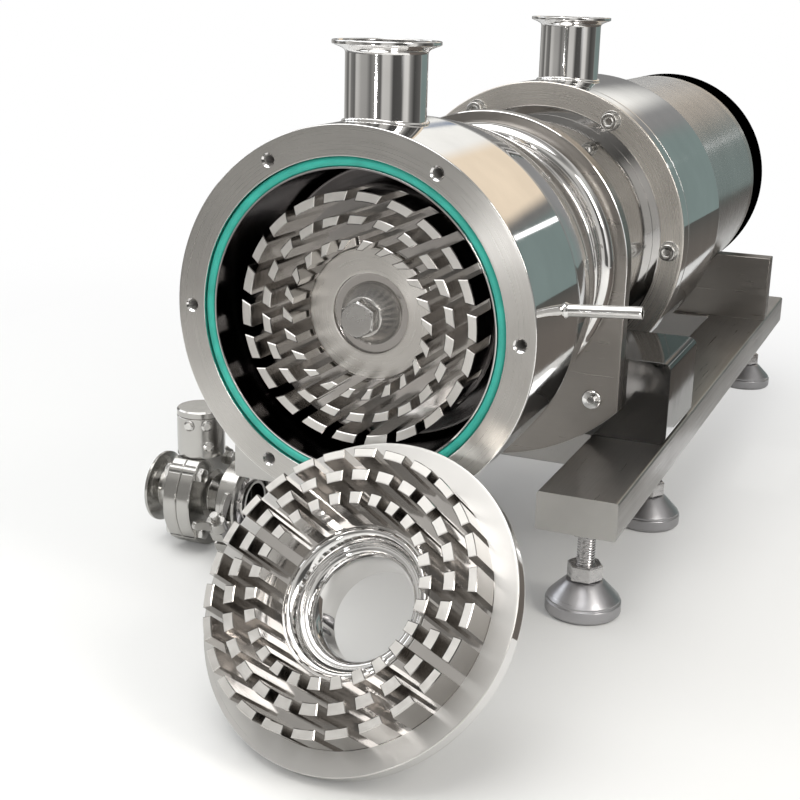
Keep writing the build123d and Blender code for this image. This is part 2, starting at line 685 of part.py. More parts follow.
# Stator: a round plate with three rings of teeth that mesh with the rotor's rings, a rounded
# lip and throat in the middle and a register ring on its back. It is built about its own Z.
ring_edges = [
    (stator_inner_edge, middle_ring_outer - middle_ring_wall - mesh_gap),
    (middle_ring_outer + mesh_gap, rotor_outer_radius - outer_ring_wall - mesh_gap),
    (rotor_outer_radius + mesh_gap, stator_outer_edge),
]


def about_z(points):
    """A solid turned about the stator's own axis from (radius, height) points."""
    return revolve(make_face(Plane.XZ * Polyline(points, close=True)), Axis.Z)


stator_teeth = None
for inner, outer in ring_edges:
    tooth_ring = about_z([(inner, -0.5), (outer, -0.5), (outer, stator_tooth_height),
                          (inner, stator_tooth_height)])
    stator_teeth = tooth_ring if stator_teeth is None else stator_teeth + tooth_ring
slot_half = stator_slot_width / 2
stator_slot = box_between((stator_inner_edge - 5, -slot_half, 0),
                          (stator_outer_edge + 5, slot_half, stator_tooth_height + 1))
half_pitch = 180 / stator_tooth_count
stator_teeth -= [Rot(0, 0, stator_slot_turn + half_pitch * (2 * k + 1)) * stator_slot
                 for k in range(stator_tooth_count)]
lip_top = 1.2
throat_drop = 6.0
tube_outside = stator_bore_radius + stator_tube_wall
stator_face = make_face(Plane.XZ * (
    Polyline((stator_rim_radius, 0), (stator_lip_radius + 0.6, 0), (stator_lip_radius + 0.6, -0.8),
             (stator_lip_radius, -0.8), (stator_lip_radius, lip_top - 0.6))
    + ThreePointArc((stator_lip_radius, lip_top - 0.6),
                    (stator_lip_radius - 1.8, lip_top), (stator_throat_radius, -throat_drop / 2))
    + Polyline((stator_throat_radius, -throat_drop / 2), (stator_throat_radius - 1, -throat_drop / 2),
               (stator_throat_radius - 1, -throat_drop), (stator_throat_radius - 2, -throat_drop))
    + ThreePointArc((stator_throat_radius - 2, -throat_drop),
                    (stator_bore_radius + 0.9, -throat_drop * 1.7), (stator_bore_radius, -throat_drop * 2.5))
    + Polyline((stator_bore_radius, -throat_drop * 2.5), (stator_bore_radius, -stator_tube_depth),
               (tube_outside, -stator_tube_depth), (tube_outside, -stator_rim - 4),
               (stator_boss_radius - stator_boss_wall, -stator_rim - 4),
               (stator_boss_radius - stator_boss_wall, -stator_boss_depth),
               (stator_boss_radius, -stator_boss_depth), (stator_boss_radius, -stator_rim),
               (stator_rim_radius - 0.5, -stator_rim), (stator_rim_radius, -stator_rim + 0.5),
               (stator_rim_radius, 0))))
stator_plate = revolve(stator_face, Axis.Z)
heading = radians(stator_heading)
lean = radians(stator_lean)
face_normal = (sin(heading) * cos(lean), -cos(heading) * cos(lean), sin(lean))
face_right = (cos(heading), sin(heading), 0)
rise = stator_rim_radius * cos(lean) + stator_rim * sin(lean)
lean_forward = cos(lean) * cos(heading)
reach_back = stator_rim_radius * sqrt(1 - lean_forward ** 2) + stator_rim * lean_forward
stator_centre = (stator_x, -reach_back - seat_gap, floor_z + rise)
stator_place = Plane(origin=stator_centre, x_dir=face_right, z_dir=face_normal)
stator = stator_place * (stator_plate + stator_teeth)
write("stator", stator)

# Butterfly valve, pipe axis along X, built about its own centre.
valve_centre = Pos(valve_x, valve_y, valve_axis_z)


def about_x(points):
    """A solid turned about the valve's pipe axis from (x, radius) points."""
    return revolve(make_face(Polyline(points, close=True)), Axis.X)


ear_circle = valve_body_radius - valve_bolt_edge
ear_places = [(ear_circle * cos(radians(a)), ear_circle * sin(radians(a))) for a in (45, 135, 225, 315)]
stem_hole = upright(valve_stem_radius + pin_gap, 0, hub_base + 2)
hub_seat = box_between((-2 * hub_radius, -2 * hub_radius, hub_base - seat_gap),
                       (2 * hub_radius, 2 * hub_radius, 2 * valve_body_radius))


def valve_side(direction):
    """One half of the valve's body: direction is 1 for the half with its ferrule to +X."""
    far = valve_reach
    profile = [(pin_gap, valve_seat_radius), (pin_gap, valve_body_radius - 0.6),
               (pin_gap + 0.6, valve_body_radius), (valve_half - 0.6, valve_body_radius),
               (valve_half, valve_body_radius - 0.6), (valve_half, valve_tube_radius + 2.5),
               (valve_half + 2, valve_tube_radius), (far - 4.2, valve_tube_radius),
               (far - 3.2, valve_ferrule_radius - 3.4), (far - 1.6, valve_ferrule_radius),
               (far, valve_ferrule_radius), (far, valve_bore_radius),
               (valve_seat_width / 2, valve_bore_radius), (valve_seat_width / 2, valve_seat_radius)]
    half = about_x(profile)
    for y, z in ear_places:
        ear = Pos(0, y, z) * Rot(0, 90, 0) * Cylinder(valve_ear_radius, valve_half - pin_gap,
                                                      align=(Align.CENTER, Align.CENTER, Align.MIN))
        half += Pos(pin_gap, 0, 0) * ear
    for y, z in ear_places:
        half -= Pos(0, y, z) * Rot(0, 90, 0) * Cylinder(valve_bolt_radius + pin_gap, 4 * valve_half)
    half -= hub_seat
    half -= stem_hole
    if direction < 0:
        half = half.mirror(Plane.YZ)
    return half


write("valve_left_half", valve_centre * valve_side(-1))
write("valve_right_half", valve_centre * valve_side(1))
seat_half = valve_seat_width / 2 - pin_gap
valve_seat = about_x([(-seat_half, valve_bore_radius + 0.4), (seat_half, valve_bore_radius + 0.4),
                      (seat_half, valve_seat_radius - pin_gap), (-seat_half, valve_seat_radius - pin_gap)])
valve_seat -= Cylinder(valve_stem_radius + pin_gap, 4 * valve_seat_radius)
write("valve_seat", valve_centre * valve_seat)
disc_half = valve_disc_thickness / 2
disc_radius = valve_bore_radius + 0.4 - pin_gap
valve_disc = about_x([(-disc_half, 0), (-disc_half, disc_radius - 3), (-0.6, disc_radius),
                      (0.6, disc_radius), (disc_half, disc_radius - 3), (disc_half, 0)])
stem_foot = disc_radius - 4
stem_square = hub_base + 12
valve_disc += upright(valve_stem_radius, stem_foot, hub_base)
valve_disc += upright(valve_stem_radius - 0.6, hub_base, stem_square)
valve_disc += upright(valve_stem_radius, -valve_seat_radius + 1, -stem_foot)
write("valve_disc", valve_centre * valve_disc)

# Hub that turns the disc, with button screws in its side and a lever to the back.
hub_face = make_face(Plane.XZ * Polyline((valve_stem_radius - 0.6 + pin_gap, hub_base),
                                         (hub_radius, hub_base), (hub_radius, hub_base + hub_height - 4.6),
                                         (hub_radius - 0.5, hub_base + hub_height - 4.2),
                                         (hub_radius, hub_base + hub_height - 3.8),
                                         (hub_radius, hub_base + hub_height - 0.8),
                                         (hub_radius - 0.8, hub_base + hub_height),
                                         (0, hub_base + hub_height), (0, stem_square + seat_gap),
                                         (valve_stem_radius - 0.6 + pin_gap, stem_square + seat_gap),
                                         close=True))
valve_hub = revolve(hub_face, Axis.Z)
hub_screw_radius = 3.2
hub_screw_rise = 1.4
hub_screw_reach = 5.0
screw_spots = [(-88, 19.6), (-46, 19.6), (-42, 7.2)]
hub_screws = []
for angle, height in screw_spots:
    spot = Pos(0, 0, hub_base + height) * Rot(0, 0, angle) * Pos(hub_radius, 0, 0) * Rot(0, 90, 0)
    valve_hub -= spot * Cylinder(1.5 + pin_gap, 2 * hub_screw_reach)
    head = make_face(Plane.XZ * Polyline((0, -0.4), (hub_screw_radius, -0.4), (hub_screw_radius, 0.5),
                                         (hub_screw_radius * 0.6, hub_screw_rise), (0, hub_screw_rise),
                                         close=True))
    valve_hub -= spot * Pos(0, 0, -0.4 + 5) * Cylinder(hub_screw_radius + pin_gap, 10)
    screw = revolve(head, Axis.Z)
    screw += Cylinder(1.5, hub_screw_reach - 0.5, align=(Align.CENTER, Align.CENTER, Align.MAX))
    hub_screws.append(valve_centre * spot * screw)
lever_height = hub_base + hub_height * 0.6
lever_start = Pos(0, hub_radius * 0.5, lever_height)
lever_hole = Cylinder(lever_radius + pin_gap, 3 * hub_radius)
valve_hub -= Pos(0, 2 * hub_radius, lever_height) * Rot(90, 0, 0) * lever_hole
lever_rod = lever_start * Rot(-90, 0, 0) * Cylinder(lever_radius, lever_length,
                                                    align=(Align.CENTER, Align.CENTER, Align.MIN))
lever_knob = Pos(0, hub_radius * 0.5 + lever_length, lever_height) * Sphere(2.2 * lever_radius)
write("valve_hub", valve_centre * valve_hub)
write("hub_screws", Compound(children=hub_screws))
write("valve_lever", valve_centre * (lever_rod + lever_knob))

# Four bolts with nuts that hold the two halves together.
small_flats = 8.0
small_head = 3.6
valve_bolts = []
for y, z in ear_places:
    lay = valve_centre * Pos(0, y, z)
    head = lay * Pos(valve_half + weld_gap, 0, 0) * Rot(0, 90, 0) * hexagon(small_flats, small_head)
    shank = lay * Rot(0, 90, 0) * Cylinder(valve_bolt_radius, 2 * (valve_half + small_head))
    nut = lay * Pos(-valve_half - weld_gap, 0, 0) * Rot(0, -90, 0) * hexagon(small_flats, small_head)
    nut -= lay * Rot(0, 90, 0) * Cylinder(valve_bolt_radius + pin_gap, 6 * valve_half)
    valve_bolts.append(head + shank)
    valve_bolts.append(nut)
write("valve_bolts", Compound(children=valve_bolts))

# Clamp round the right ferrule's joint: two half rings, an eye bolt and a wing nut.
joint_x = valve_reach + 1.2
stub_far = joint_x + stub_length
clamp_inner = valve_ferrule_radius + 0.4
clamp_outer = clamp_inner + clamp_wall
clamp_low = joint_x - clamp_width / 2
clamp_high = joint_x + clamp_width / 2
clamp_band = about_x([(clamp_low, valve_ferrule_radius - 1.6), (clamp_low, clamp_outer - 1),
                      (clamp_low + 1, clamp_outer), (clamp_high - 1, clamp_outer),
                      (clamp_high, clamp_outer - 1), (clamp_high, valve_ferrule_radius - 1.6),
                      (joint_x + 4.2, valve_ferrule_radius - 1.6), (joint_x + 3.2, clamp_inner),
                      (joint_x - 3.2, clamp_inner), (joint_x - 4.2, valve_ferrule_radius - 1.6)])
clamp_lug_y = -clamp_outer - 5
clamp_band += box_between((clamp_low + 2, clamp_lug_y - 4, -clamp_lug_height),
                          (clamp_high - 2, -clamp_outer + 2, clamp_lug_height))
split = box_between((clamp_low - 5, -4 * valve_body_radius, -1.2),
                    (clamp_high + 5, 4 * valve_body_radius, 1.2))
clamp_band -= split
clamp_lay = valve_centre * Rot(clamp_turn, 0, 0)
bolt_line = Pos(joint_x, clamp_lug_y + 0.5, 0)
clamp_band -= bolt_line * Cylinder(clamp_bolt_radius + 2 * pin_gap, 4 * clamp_lug_height)
clamp_solids = [clamp_lay * piece for piece in clamp_band.solids()]
bolt_shank = Cylinder(clamp_bolt_radius, clamp_bolt_length, align=(Align.CENTER, Align.CENTER, Align.MIN))
bolt_foot = Cylinder(clamp_bolt_radius + 1.7, 3.0, align=(Align.CENTER, Align.CENTER, Align.MAX))
eye_bolt = clamp_lay * bolt_line * Pos(0, 0, -clamp_lug_height - seat_gap) * (bolt_shank + bolt_foot)
clamp_solids.append(eye_bolt)
write("clamp_ring", Compound(children=clamp_solids))

# Wing nut on the eye bolt: its wings rise steeply, so that they pass over the clamp's band.
wing_foot = clamp_lug_height + seat_gap
wing_hub = Cylinder(5.5, 7.0, align=(Align.CENTER, Align.CENTER, Align.MIN))
wing = make_face(Plane.XZ * (ThreePointArc((3.5, 0.4), (8.5, 6.9), (13.5, 12.3))
                             + ThreePointArc((13.5, 12.3), (14.6, 15.4), (12.4, 17.4))
                             + ThreePointArc((12.4, 17.4), (7.5, 13.4), (3.5, 6.6))
                             + Line((3.5, 6.6), (3.5, 0.4))))
wing_blade = Pos(0, 1.3, 0) * extrude(wing, amount=2.6)
wing_nut = wing_hub + wing_blade + wing_blade.mirror(Plane.YZ)
wing_nut -= Cylinder(clamp_bolt_radius + pin_gap, 2 * clamp_bolt_length)
wing_nut = clamp_lay * bolt_line * Pos(0, 0, wing_foot) * Rot(0, 0, wing_turn) * wing_nut
write("wing_nut", wing_nut)
hose_stub = about_x([(joint_x + 1.2, valve_bore_radius), (joint_x + 1.2, valve_ferrule_radius),
                     (joint_x + 2.8, valve_ferrule_radius), (joint_x + 4.4, valve_ferrule_radius - 3.4),
                     (joint_x + 5.4, valve_tube_radius), (stub_far, valve_tube_radius),
                     (stub_far, valve_bore_radius)])
write("hose_stub", valve_centre * hose_stub)
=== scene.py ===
import json
from math import radians

import bmesh
import bpy
import numpy as np
from mathutils import Matrix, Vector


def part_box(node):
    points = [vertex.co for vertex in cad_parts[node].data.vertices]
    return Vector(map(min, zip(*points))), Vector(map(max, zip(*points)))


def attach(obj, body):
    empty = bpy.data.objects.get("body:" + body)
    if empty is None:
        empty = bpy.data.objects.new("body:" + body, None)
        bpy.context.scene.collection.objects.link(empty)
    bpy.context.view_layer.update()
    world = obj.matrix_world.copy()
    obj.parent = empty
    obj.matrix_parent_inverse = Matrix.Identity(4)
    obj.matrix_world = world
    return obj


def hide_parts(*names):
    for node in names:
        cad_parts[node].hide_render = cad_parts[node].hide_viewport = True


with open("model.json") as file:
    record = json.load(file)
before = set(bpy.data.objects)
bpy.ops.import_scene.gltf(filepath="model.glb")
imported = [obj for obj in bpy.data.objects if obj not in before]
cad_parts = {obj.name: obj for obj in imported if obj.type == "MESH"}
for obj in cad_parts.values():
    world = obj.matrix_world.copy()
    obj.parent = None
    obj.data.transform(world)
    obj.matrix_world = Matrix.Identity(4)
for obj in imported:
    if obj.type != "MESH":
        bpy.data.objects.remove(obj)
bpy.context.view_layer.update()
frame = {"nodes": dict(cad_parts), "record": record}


# Camera: a long lens at the pump's front right, a little above the shaft, looking down at the
# chamber's mouth and at the stator on the floor.
def placed(name, data):
    """A new object with this data, linked to the scene."""
    item = bpy.data.objects.new(name, data)
    bpy.context.scene.collection.objects.link(item)
    return item


camera_place = (0.259352, -0.551773, 0.146875)
camera_right = (0.91829, 0.395189, 0.023851)
camera_up = (-0.134348, 0.254377, 0.957728)
camera_back = (0.372417, -0.882677, 0.286684)
camera_data = bpy.data.cameras.new("camera")
camera_data.lens = 61.72
camera_data.sensor_width = 36.0
camera_data.clip_start = 0.02
camera = placed("camera", camera_data)
camera_turn = Matrix((camera_right, camera_up, camera_back)).transposed()
camera.matrix_world = Matrix.Translation(camera_place) @ camera_turn.to_4x4()
bpy.context.scene.camera = camera
bpy.context.scene.view_settings.view_transform = "Standard"


# Floor: a pale studio floor that carries the object and takes its shadow. It stands a hair
# below the pads, so that they are seen to rest on it.
def joined(mesh, distance, flatten=False):
    """Joins points that fall together, makes flat areas one face each where asked, and turns the
    faces outwards."""
    work = bmesh.new()
    work.from_mesh(mesh)
    bmesh.ops.remove_doubles(work, verts=work.verts, dist=distance)
    if flatten:
        bmesh.ops.dissolve_limit(work, angle_limit=radians(0.4), verts=work.verts, edges=work.edges)
    bmesh.ops.recalc_face_normals(work, faces=work.faces)
    work.to_mesh(mesh)
    work.free()


def smoothed(mesh, degrees):
    """Shades a mesh smooth, apart from edges sharper than this many degrees."""
    mesh.polygons.foreach_set("use_smooth", np.ones(len(mesh.polygons), bool))
    mesh.set_sharp_from_angle(angle=radians(degrees))


def surface(name, grids, smooth=32, merge=1e-6):
    """A mesh from one or more grids of quads. Each grid is (points in millimetres, faces, corner
    coordinates). Points that fall together are joined, faces are turned outwards, and edges
    sharper than smooth degrees stay sharp."""
    points = np.vstack([part[0] for part in grids]) * 0.001
    starts = np.cumsum([0] + [len(part[0]) for part in grids[:-1]])
    faces = np.vstack([part[1] + start for part, start in zip(grids, starts)])
    corners = np.vstack([part[2].reshape(-1, 2) for part in grids])
    mesh = bpy.data.meshes.new(name)
    mesh.from_pydata(points.tolist(), [], faces.tolist())
    layer = mesh.uv_layers.new(name="along")
    layer.data.foreach_set("uv", corners.astype(np.float32).ravel())
    joined(mesh, merge)
    smoothed(mesh, smooth)
    return placed(name, mesh)


def quads(points, corners, close_rows=False, close_columns=False):
    """Quads over a grid of points: corner coordinates has one more row and column than the faces."""
    rows, columns = points.shape[:2]
    i, j = np.meshgrid(np.arange(rows if close_rows else rows - 1),
                       np.arange(columns if close_columns else columns - 1), indexing="ij")
    i, j = i.ravel(), j.ravel()
    down, right = (i + 1) % rows, (j + 1) % columns
    faces = np.stack([i * columns + j, i * columns + right, down * columns + right, down * columns + j], 1)
    across = np.stack([corners[i, j], corners[i, j + 1], corners[i + 1, j + 1], corners[i + 1, j]], 1)
    return points.reshape(-1, 3), faces, across


def grid(*parts):
    """Brings its parts to one shape and stacks them along a new last axis."""
    return np.stack(np.broadcast_arrays(*parts), -1)


def fill(tree, made, inputs):
    """Sets inputs of a shader node. Each is a value or the output of another node."""
    for name, value in inputs.items():
        if isinstance(value, bpy.types.NodeSocket):
            tree.links.new(value, made.inputs[name])
        else:
            made.inputs[name].default_value = value


def add(tree, kind, inputs=None, **settings):
    """A new shader node with its settings and its inputs."""
    made = tree.nodes.new("ShaderNode" + kind)
    for name, value in settings.items():
        setattr(made, name, value)
    fill(tree, made, inputs or {})
    return made


def nodes_of(name, inputs=None):
    """A fresh material with its node tree and its shader, whose inputs are set."""
    material = bpy.data.materials.new(name)
    material.use_nodes = True
    tree = material.node_tree
    shader = next(made for made in tree.nodes if made.type == "BSDF_PRINCIPLED")
    fill(tree, shader, inputs or {})
    return material, tree, shader


white = (1, 1, 1, 1)
floor_radius = 1.6
floor_middle_y = 200
floor_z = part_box("foot_1_pad")[0].z - 0.0002
floor_turns = np.linspace(0, 2 * np.pi, 97)
floor_rings = np.linspace(0, 1, 25)[:, None]
floor_reach = floor_rings ** 1.5 * floor_radius * 1000
floor_points = grid(floor_reach * np.cos(floor_turns[:-1]),
                    floor_middle_y + floor_reach * np.sin(floor_turns[:-1]), floor_z * 1000)
floor = surface("floor", [quads(floor_points, grid(floor_turns, floor_rings), close_columns=True)])
floor_material, tree, shader = nodes_of("floor", {
    "Base Color": (0.80, 0.79, 0.76, 1), "Roughness": 0.7, "Specular IOR Level": 0.2})
# To the camera the floor also glows white: painted light that is small near the pump and full about a
# metre out, so that the floor fades into the backdrop while the real shade shows near the pump.
glow = add(tree, "Emission", {"Color": white})
rays = add(tree, "LightPath")
floor_place = add(tree, "TexCoord")
away = add(tree, "VectorMath", {0: floor_place.outputs["Object"]}, operation="LENGTH")
fade = add(tree, "MapRange", {"Value": away.outputs["Value"], "From Min": 0.12, "From Max": 1.15,
                              "To Min": 0.06, "To Max": 1.0}, interpolation_type="SMOOTHSTEP")
share = add(tree, "Math", {0: rays.outputs["Is Camera Ray"], 1: fade.outputs[0]}, operation="MULTIPLY")
mix = add(tree, "MixShader", {0: share.outputs[0], 1: shader.outputs[0], 2: glow.outputs[0]})
out = next(made for made in tree.nodes if made.type == "OUTPUT_MATERIAL")
fill(tree, out, {"Surface": mix.outputs[0]})
floor.data.materials.append(floor_material)

# World and lamps: a white backdrop to the camera and to the metal, soft lamps over and beside
# the pump, and a wide grey room wall, seen by reflections alone, that gives the steel its depth.
world = bpy.data.worlds.new("studio")
bpy.context.scene.world = world
world.use_nodes = True
sky = world.node_tree
backdrop = sky.nodes["Background"]
fill(sky, backdrop, {"Color": (0.92, 0.95, 1.0, 1), "Strength": 0.55})
sky_rays = add(sky, "LightPath")
seen = add(sky, "Math", {0: sky_rays.outputs["Is Camera Ray"], 1: sky_rays.outputs["Is Glossy Ray"]},
           operation="MAXIMUM")
seen_too = add(sky, "Math", {0: seen.outputs[0], 1: sky_rays.outputs["Is Transmission Ray"]},
               operation="MAXIMUM")
seen_sky = add(sky, "Background", {"Color": white, "Strength": 1.0})
blend = add(sky, "MixShader", {0: seen_too.outputs[0], 1: backdrop.outputs[0], 2: seen_sky.outputs[0]})
fill(sky, sky.nodes["World Output"], {"Surface": blend.outputs[0]})


def lamp(name, place, target, width, height, power, colour=(1, 1, 1)):
    """A rectangular soft lamp that points from its place to its target."""
    data = bpy.data.lights.new(name, "AREA")
    data.shape = "RECTANGLE"
    data.size, data.size_y = width, height
    data.energy = power
    data.color = colour
    item = placed(name, data)
    back = np.subtract(place, target)
    back = back / np.linalg.norm(back)
    side = np.cross((0, 0, 1), back)
    side = side / np.linalg.norm(side)
    item.matrix_world = (Matrix.Translation(place)
                         @ Matrix((side, np.cross(back, side), back)).transposed().to_4x4())


lamp("lamp_over", (-0.25, -0.25, 1.35), (0.02, 0.05, 0), 1.5, 1.2, 17)
lamp("lamp_left", (-1.30, 0.25, 0.80), (0, 0, 0), 0.9, 0.8, 5, (0.93, 0.96, 1.0))
lamp("lamp_right", (1.15, -0.35, 0.75), (0.05, 0.05, -0.05), 0.35, 0.8, 8, (1.0, 0.97, 0.92))
lamp("lamp_front", (-0.10, -1.35, -0.02), (0, 0, 0), 0.10, 0.10, 1.2)


def unseen(piece):
    """Leaves a piece to reflections alone and out of the object."""
    piece.visible_camera = False
    piece.visible_diffuse = False
    piece.visible_shadow = False
    piece.visible_transmission = False


def on_sphere(reach, turn, rise):
    """Points of a sphere about the pump. turn runs from straight behind the pump towards its right,
    and rise is above the shaft."""
    return grid(reach * np.sin(turn) * np.cos(rise), reach * np.cos(turn) * np.cos(rise),
                reach * np.sin(rise))


def blank_material(name):
    """A material whose node tree is empty."""
    material = bpy.data.materials.new(name)
    material.use_nodes = True
    material.node_tree.nodes.clear()
    return material, material.node_tree


room_turn = np.linspace(0, 2 * np.pi, 241)
room_rise = np.radians([-40, -20, -4, 4, 14, 24, 34, 44, 54, 64, 76, 90])[:, None]
room_radius = 2600
room_points = on_sphere(room_radius, room_turn[:-1], room_rise)
room_corners = grid(room_turn / (2 * np.pi), (np.degrees(room_rise) + 40) / 130)
room = surface("room", [quads(room_points, room_corners, close_columns=True)], merge=1e-4)
room_material, tree = blank_material("room")
room_place = add(tree, "TexCoord")
split = add(tree, "SeparateXYZ", {0: room_place.outputs["UV"]})
around = add(tree, "ValToRGB", {0: split.outputs["X"]})
upward = add(tree, "ValToRGB", {0: split.outputs["Y"]})
height_share = add(tree, "MapRange", {"Value": split.outputs["Y"], "From Min": 0.44, "From Max": 0.60})
# Round the room, from straight behind the pump through its right: brightness at each share of
# the turn.
panels = [(0.0, 0.30), (0.05, 0.20), (0.10, 0.10), (0.115, 0.60), (0.13, 0.14), (0.20, 0.07),
          (0.24, 0.28), (0.26, 0.80), (0.29, 0.72), (0.31, 0.10), (0.38, 0.08), (0.41, 0.62),
          (0.46, 0.66), (0.475, 0.12), (0.53, 0.30), (0.56, 0.16), (0.59, 0.38), (0.64, 0.42),
          (0.67, 0.60), (0.69, 0.62), (0.705, 0.14), (0.75, 0.22), (0.77, 0.55), (0.80, 0.12),
          (0.88, 0.50), (0.93, 0.16), (1.0, 0.30)]
# From 40 degrees under the horizon to straight overhead, by share of that height.
ceiling = [(0.0, 0.20), (0.50, 0.30), (0.57, 0.62), (0.66, 0.70), (0.71, 0.40), (0.78, 0.22),
           (0.86, 0.60), (1.0, 0.85)]
for ramp, marks in ((around.color_ramp, panels), (upward.color_ramp, ceiling)):
    stops = ramp.elements
    stops[0].position, stops[0].color = marks[0][0], (marks[0][1],) * 3 + (1,)
    stops[1].position, stops[1].color = marks[-1][0], (marks[-1][1],) * 3 + (1,)
    for share_of_way, brightness in marks[1:-1]:
        stop = stops.new(share_of_way)
        stop.color = (brightness, brightness * 0.985, brightness * 0.95, 1)
both = add(tree, "Mix", {"Factor": height_share.outputs[0], "A": around.outputs["Color"],
                         "B": upward.outputs["Color"]}, data_type="RGBA")
glow = add(tree, "Emission", {"Color": both.outputs["Result"]})
add(tree, "OutputMaterial", {"Surface": glow.outputs[0]})
room.data.materials.append(room_material)
unseen(room)


def card(name, turns, rises, colour, strength=1.0, soft=5.0, reach=2300, lift=0.0):
    """A reflection card: a patch of a sphere about the pump. turns are degrees from straight behind it
    towards its right and rises are degrees above the shaft; lift raises its far end by that many
    degrees. Its edges fade over 1/soft of it."""
    across, up = np.linspace(0, 1, 13), np.linspace(0, 1, 7)[:, None]
    turn = np.radians(np.linspace(*turns, 13))
    rise = np.radians(np.linspace(*rises, 7)[:, None] + np.linspace(0, lift, 13))
    piece = surface(name, [quads(on_sphere(reach, turn, rise), grid(across, up))])
    material, tree = blank_material(name)
    place = add(tree, "TexCoord")
    split = add(tree, "SeparateXYZ", {0: place.outputs["UV"]})
    shares = []
    for way in ("X", "Y"):
        tent = add(tree, "Math", {0: split.outputs[way], 1: 0.5}, operation="PINGPONG")
        shares.append(add(tree, "MapRange", {"Value": tent.outputs[0], "From Max": 1 / soft},
                          interpolation_type="SMOOTHSTEP"))
    product = add(tree, "Math", {0: shares[0].outputs[0], 1: shares[1].outputs[0]}, operation="MULTIPLY")
    glow = add(tree, "Emission", {"Color": (*colour, 1), "Strength": strength})
    clear = add(tree, "BsdfTransparent")
    mix = add(tree, "MixShader", {0: product.outputs[0], 1: clear.outputs[0], 2: glow.outputs[0]})
    add(tree, "OutputMaterial", {"Surface": mix.outputs[0]})
    piece.data.materials.append(material)
    unseen(piece)


card("card_high", (-42, 3), (11, 40), (1.0, 0.99, 0.95), 1.05, soft=8.0)
card("card_cream", (-7, 26), (14, 31), (0.95, 0.80, 0.62), 1.05, soft=6.0, reach=2200)
card("card_blue", (-22, 4), (15, 18), (0.22, 0.27, 0.37), 1.0, soft=3.0, reach=2150)
card("card_line", (12, 22.5), (6.8, 8.8), (1.0, 1.0, 1.0), 3.0, soft=2.5, reach=2100, lift=6.15)
card("card_teal", (4, 46), (-9, 14), (0.22, 0.28, 0.27), 1.0, soft=8.0, reach=2200)
card("card_window", (96, 116), (-2, 34), (1.0, 1.0, 1.0), 1.0, soft=5.0)


# Darker floor to the pump's right and in front of it, seen by reflections alone, and one bright
# patch that the casing's lower side shows.
def mat(name, low_x, high_x, low_y, high_y, colour, glow=0.0):
    """A flat dull patch a hair above the floor, which may glow."""
    across, along = np.linspace(0, 1, 9), np.linspace(0, 1, 9)[:, None]
    points = grid(low_x + (high_x - low_x) * across, low_y + (high_y - low_y) * along,
                  floor_z * 1000 + mat_lift)
    piece = surface(name, [quads(points, grid(across, along))])
    material, tree, shader = nodes_of(name, {
        "Base Color": (*colour, 1), "Roughness": 0.6, "Emission Color": white, "Emission Strength": glow})
    piece.data.materials.append(material)
    unseen(piece)


mat_lift = 0.4
mat("mat_right", 178, 1500, 60, 2200, (0.12, 0.10, 0.085))
mat("mat_bright", 124, 162, 350, 452, (0.8, 0.8, 0.8), 0.8)
mat("mat_front", -600, 120, -1500, -330, (0.42, 0.40, 0.375))
mat("mat_left", -1600, -600, -1500, 700, (0.16, 0.155, 0.15))


# Chamber casing: a stainless casting turned all over. Its face is left as machined, its outside is
# polished to a mirror, and its bore is painted darker inside, as painted shade in the chamber. Six
# tapped holes take the cover's screws.
def rounded(rows, steps):
    """An outline with rounded corners. Each row is (radius, along, corner radius, swell), where the
    last one or two may be left out. A corner becomes the quadratic curve that starts and ends where
    an arc of that radius would touch its two sides, with one more point a little before it and one a
    little after, so that it shades by itself."""
    rows = np.array([tuple(row) + (0,) * (4 - len(row)) for row in rows], float)
    outline = []
    for k, (here, size, swell) in enumerate(zip(rows[:, :2], rows[:, 2], rows[:, 3])):
        one, other = rows[k - 1, :2] - here, rows[(k + 1) % len(rows), :2] - here
        one_length, other_length = np.linalg.norm(one), np.linalg.norm(other)
        if size <= 0 or min(one_length, other_length) == 0:
            outline.append(np.array([[*here, swell]]))
            continue
        one, other = one / one_length, other / other_length
        corner = np.arccos(np.clip(one @ other, -1, 1))
        touch = min(size / np.tan(corner / 2), 0.48 * one_length, 0.48 * other_length)
        t = np.linspace(0, 1, steps + 1)[:, None]
        from_here, to_next = here + one * touch, here + other * touch
        curve = (1 - t) ** 2 * from_here + 2 * t * (1 - t) * here + t ** 2 * to_next
        before = here + one * (touch + min(0.8, 0.2 * (one_length - touch)))
        after = here + other * (touch + min(0.8, 0.2 * (other_length - touch)))
        curve = np.vstack([before, curve, after])
        outline.append(np.hstack([curve, np.full((len(curve), 1), swell)]))
    return np.vstack(outline)


def axes(centre, first, second, along):
    """A 3 by 4 matrix whose columns are two directions across an axis, the axis and its start."""
    return np.stack([first, second, along, centre], 1).astype(float)


def along_shaft(x, y, z):
    """A place whose axis runs with the shaft, from front to back."""
    return axes((x, y, z), (1, 0, 0), (0, 0, 1), (0, 1, 0))


def upright(x, y, z):
    """A place whose axis points up."""
    return axes((x, y, z), (1, 0, 0), (0, 1, 0), (0, 0, 1))


shaft = along_shaft(0, 0, 0)


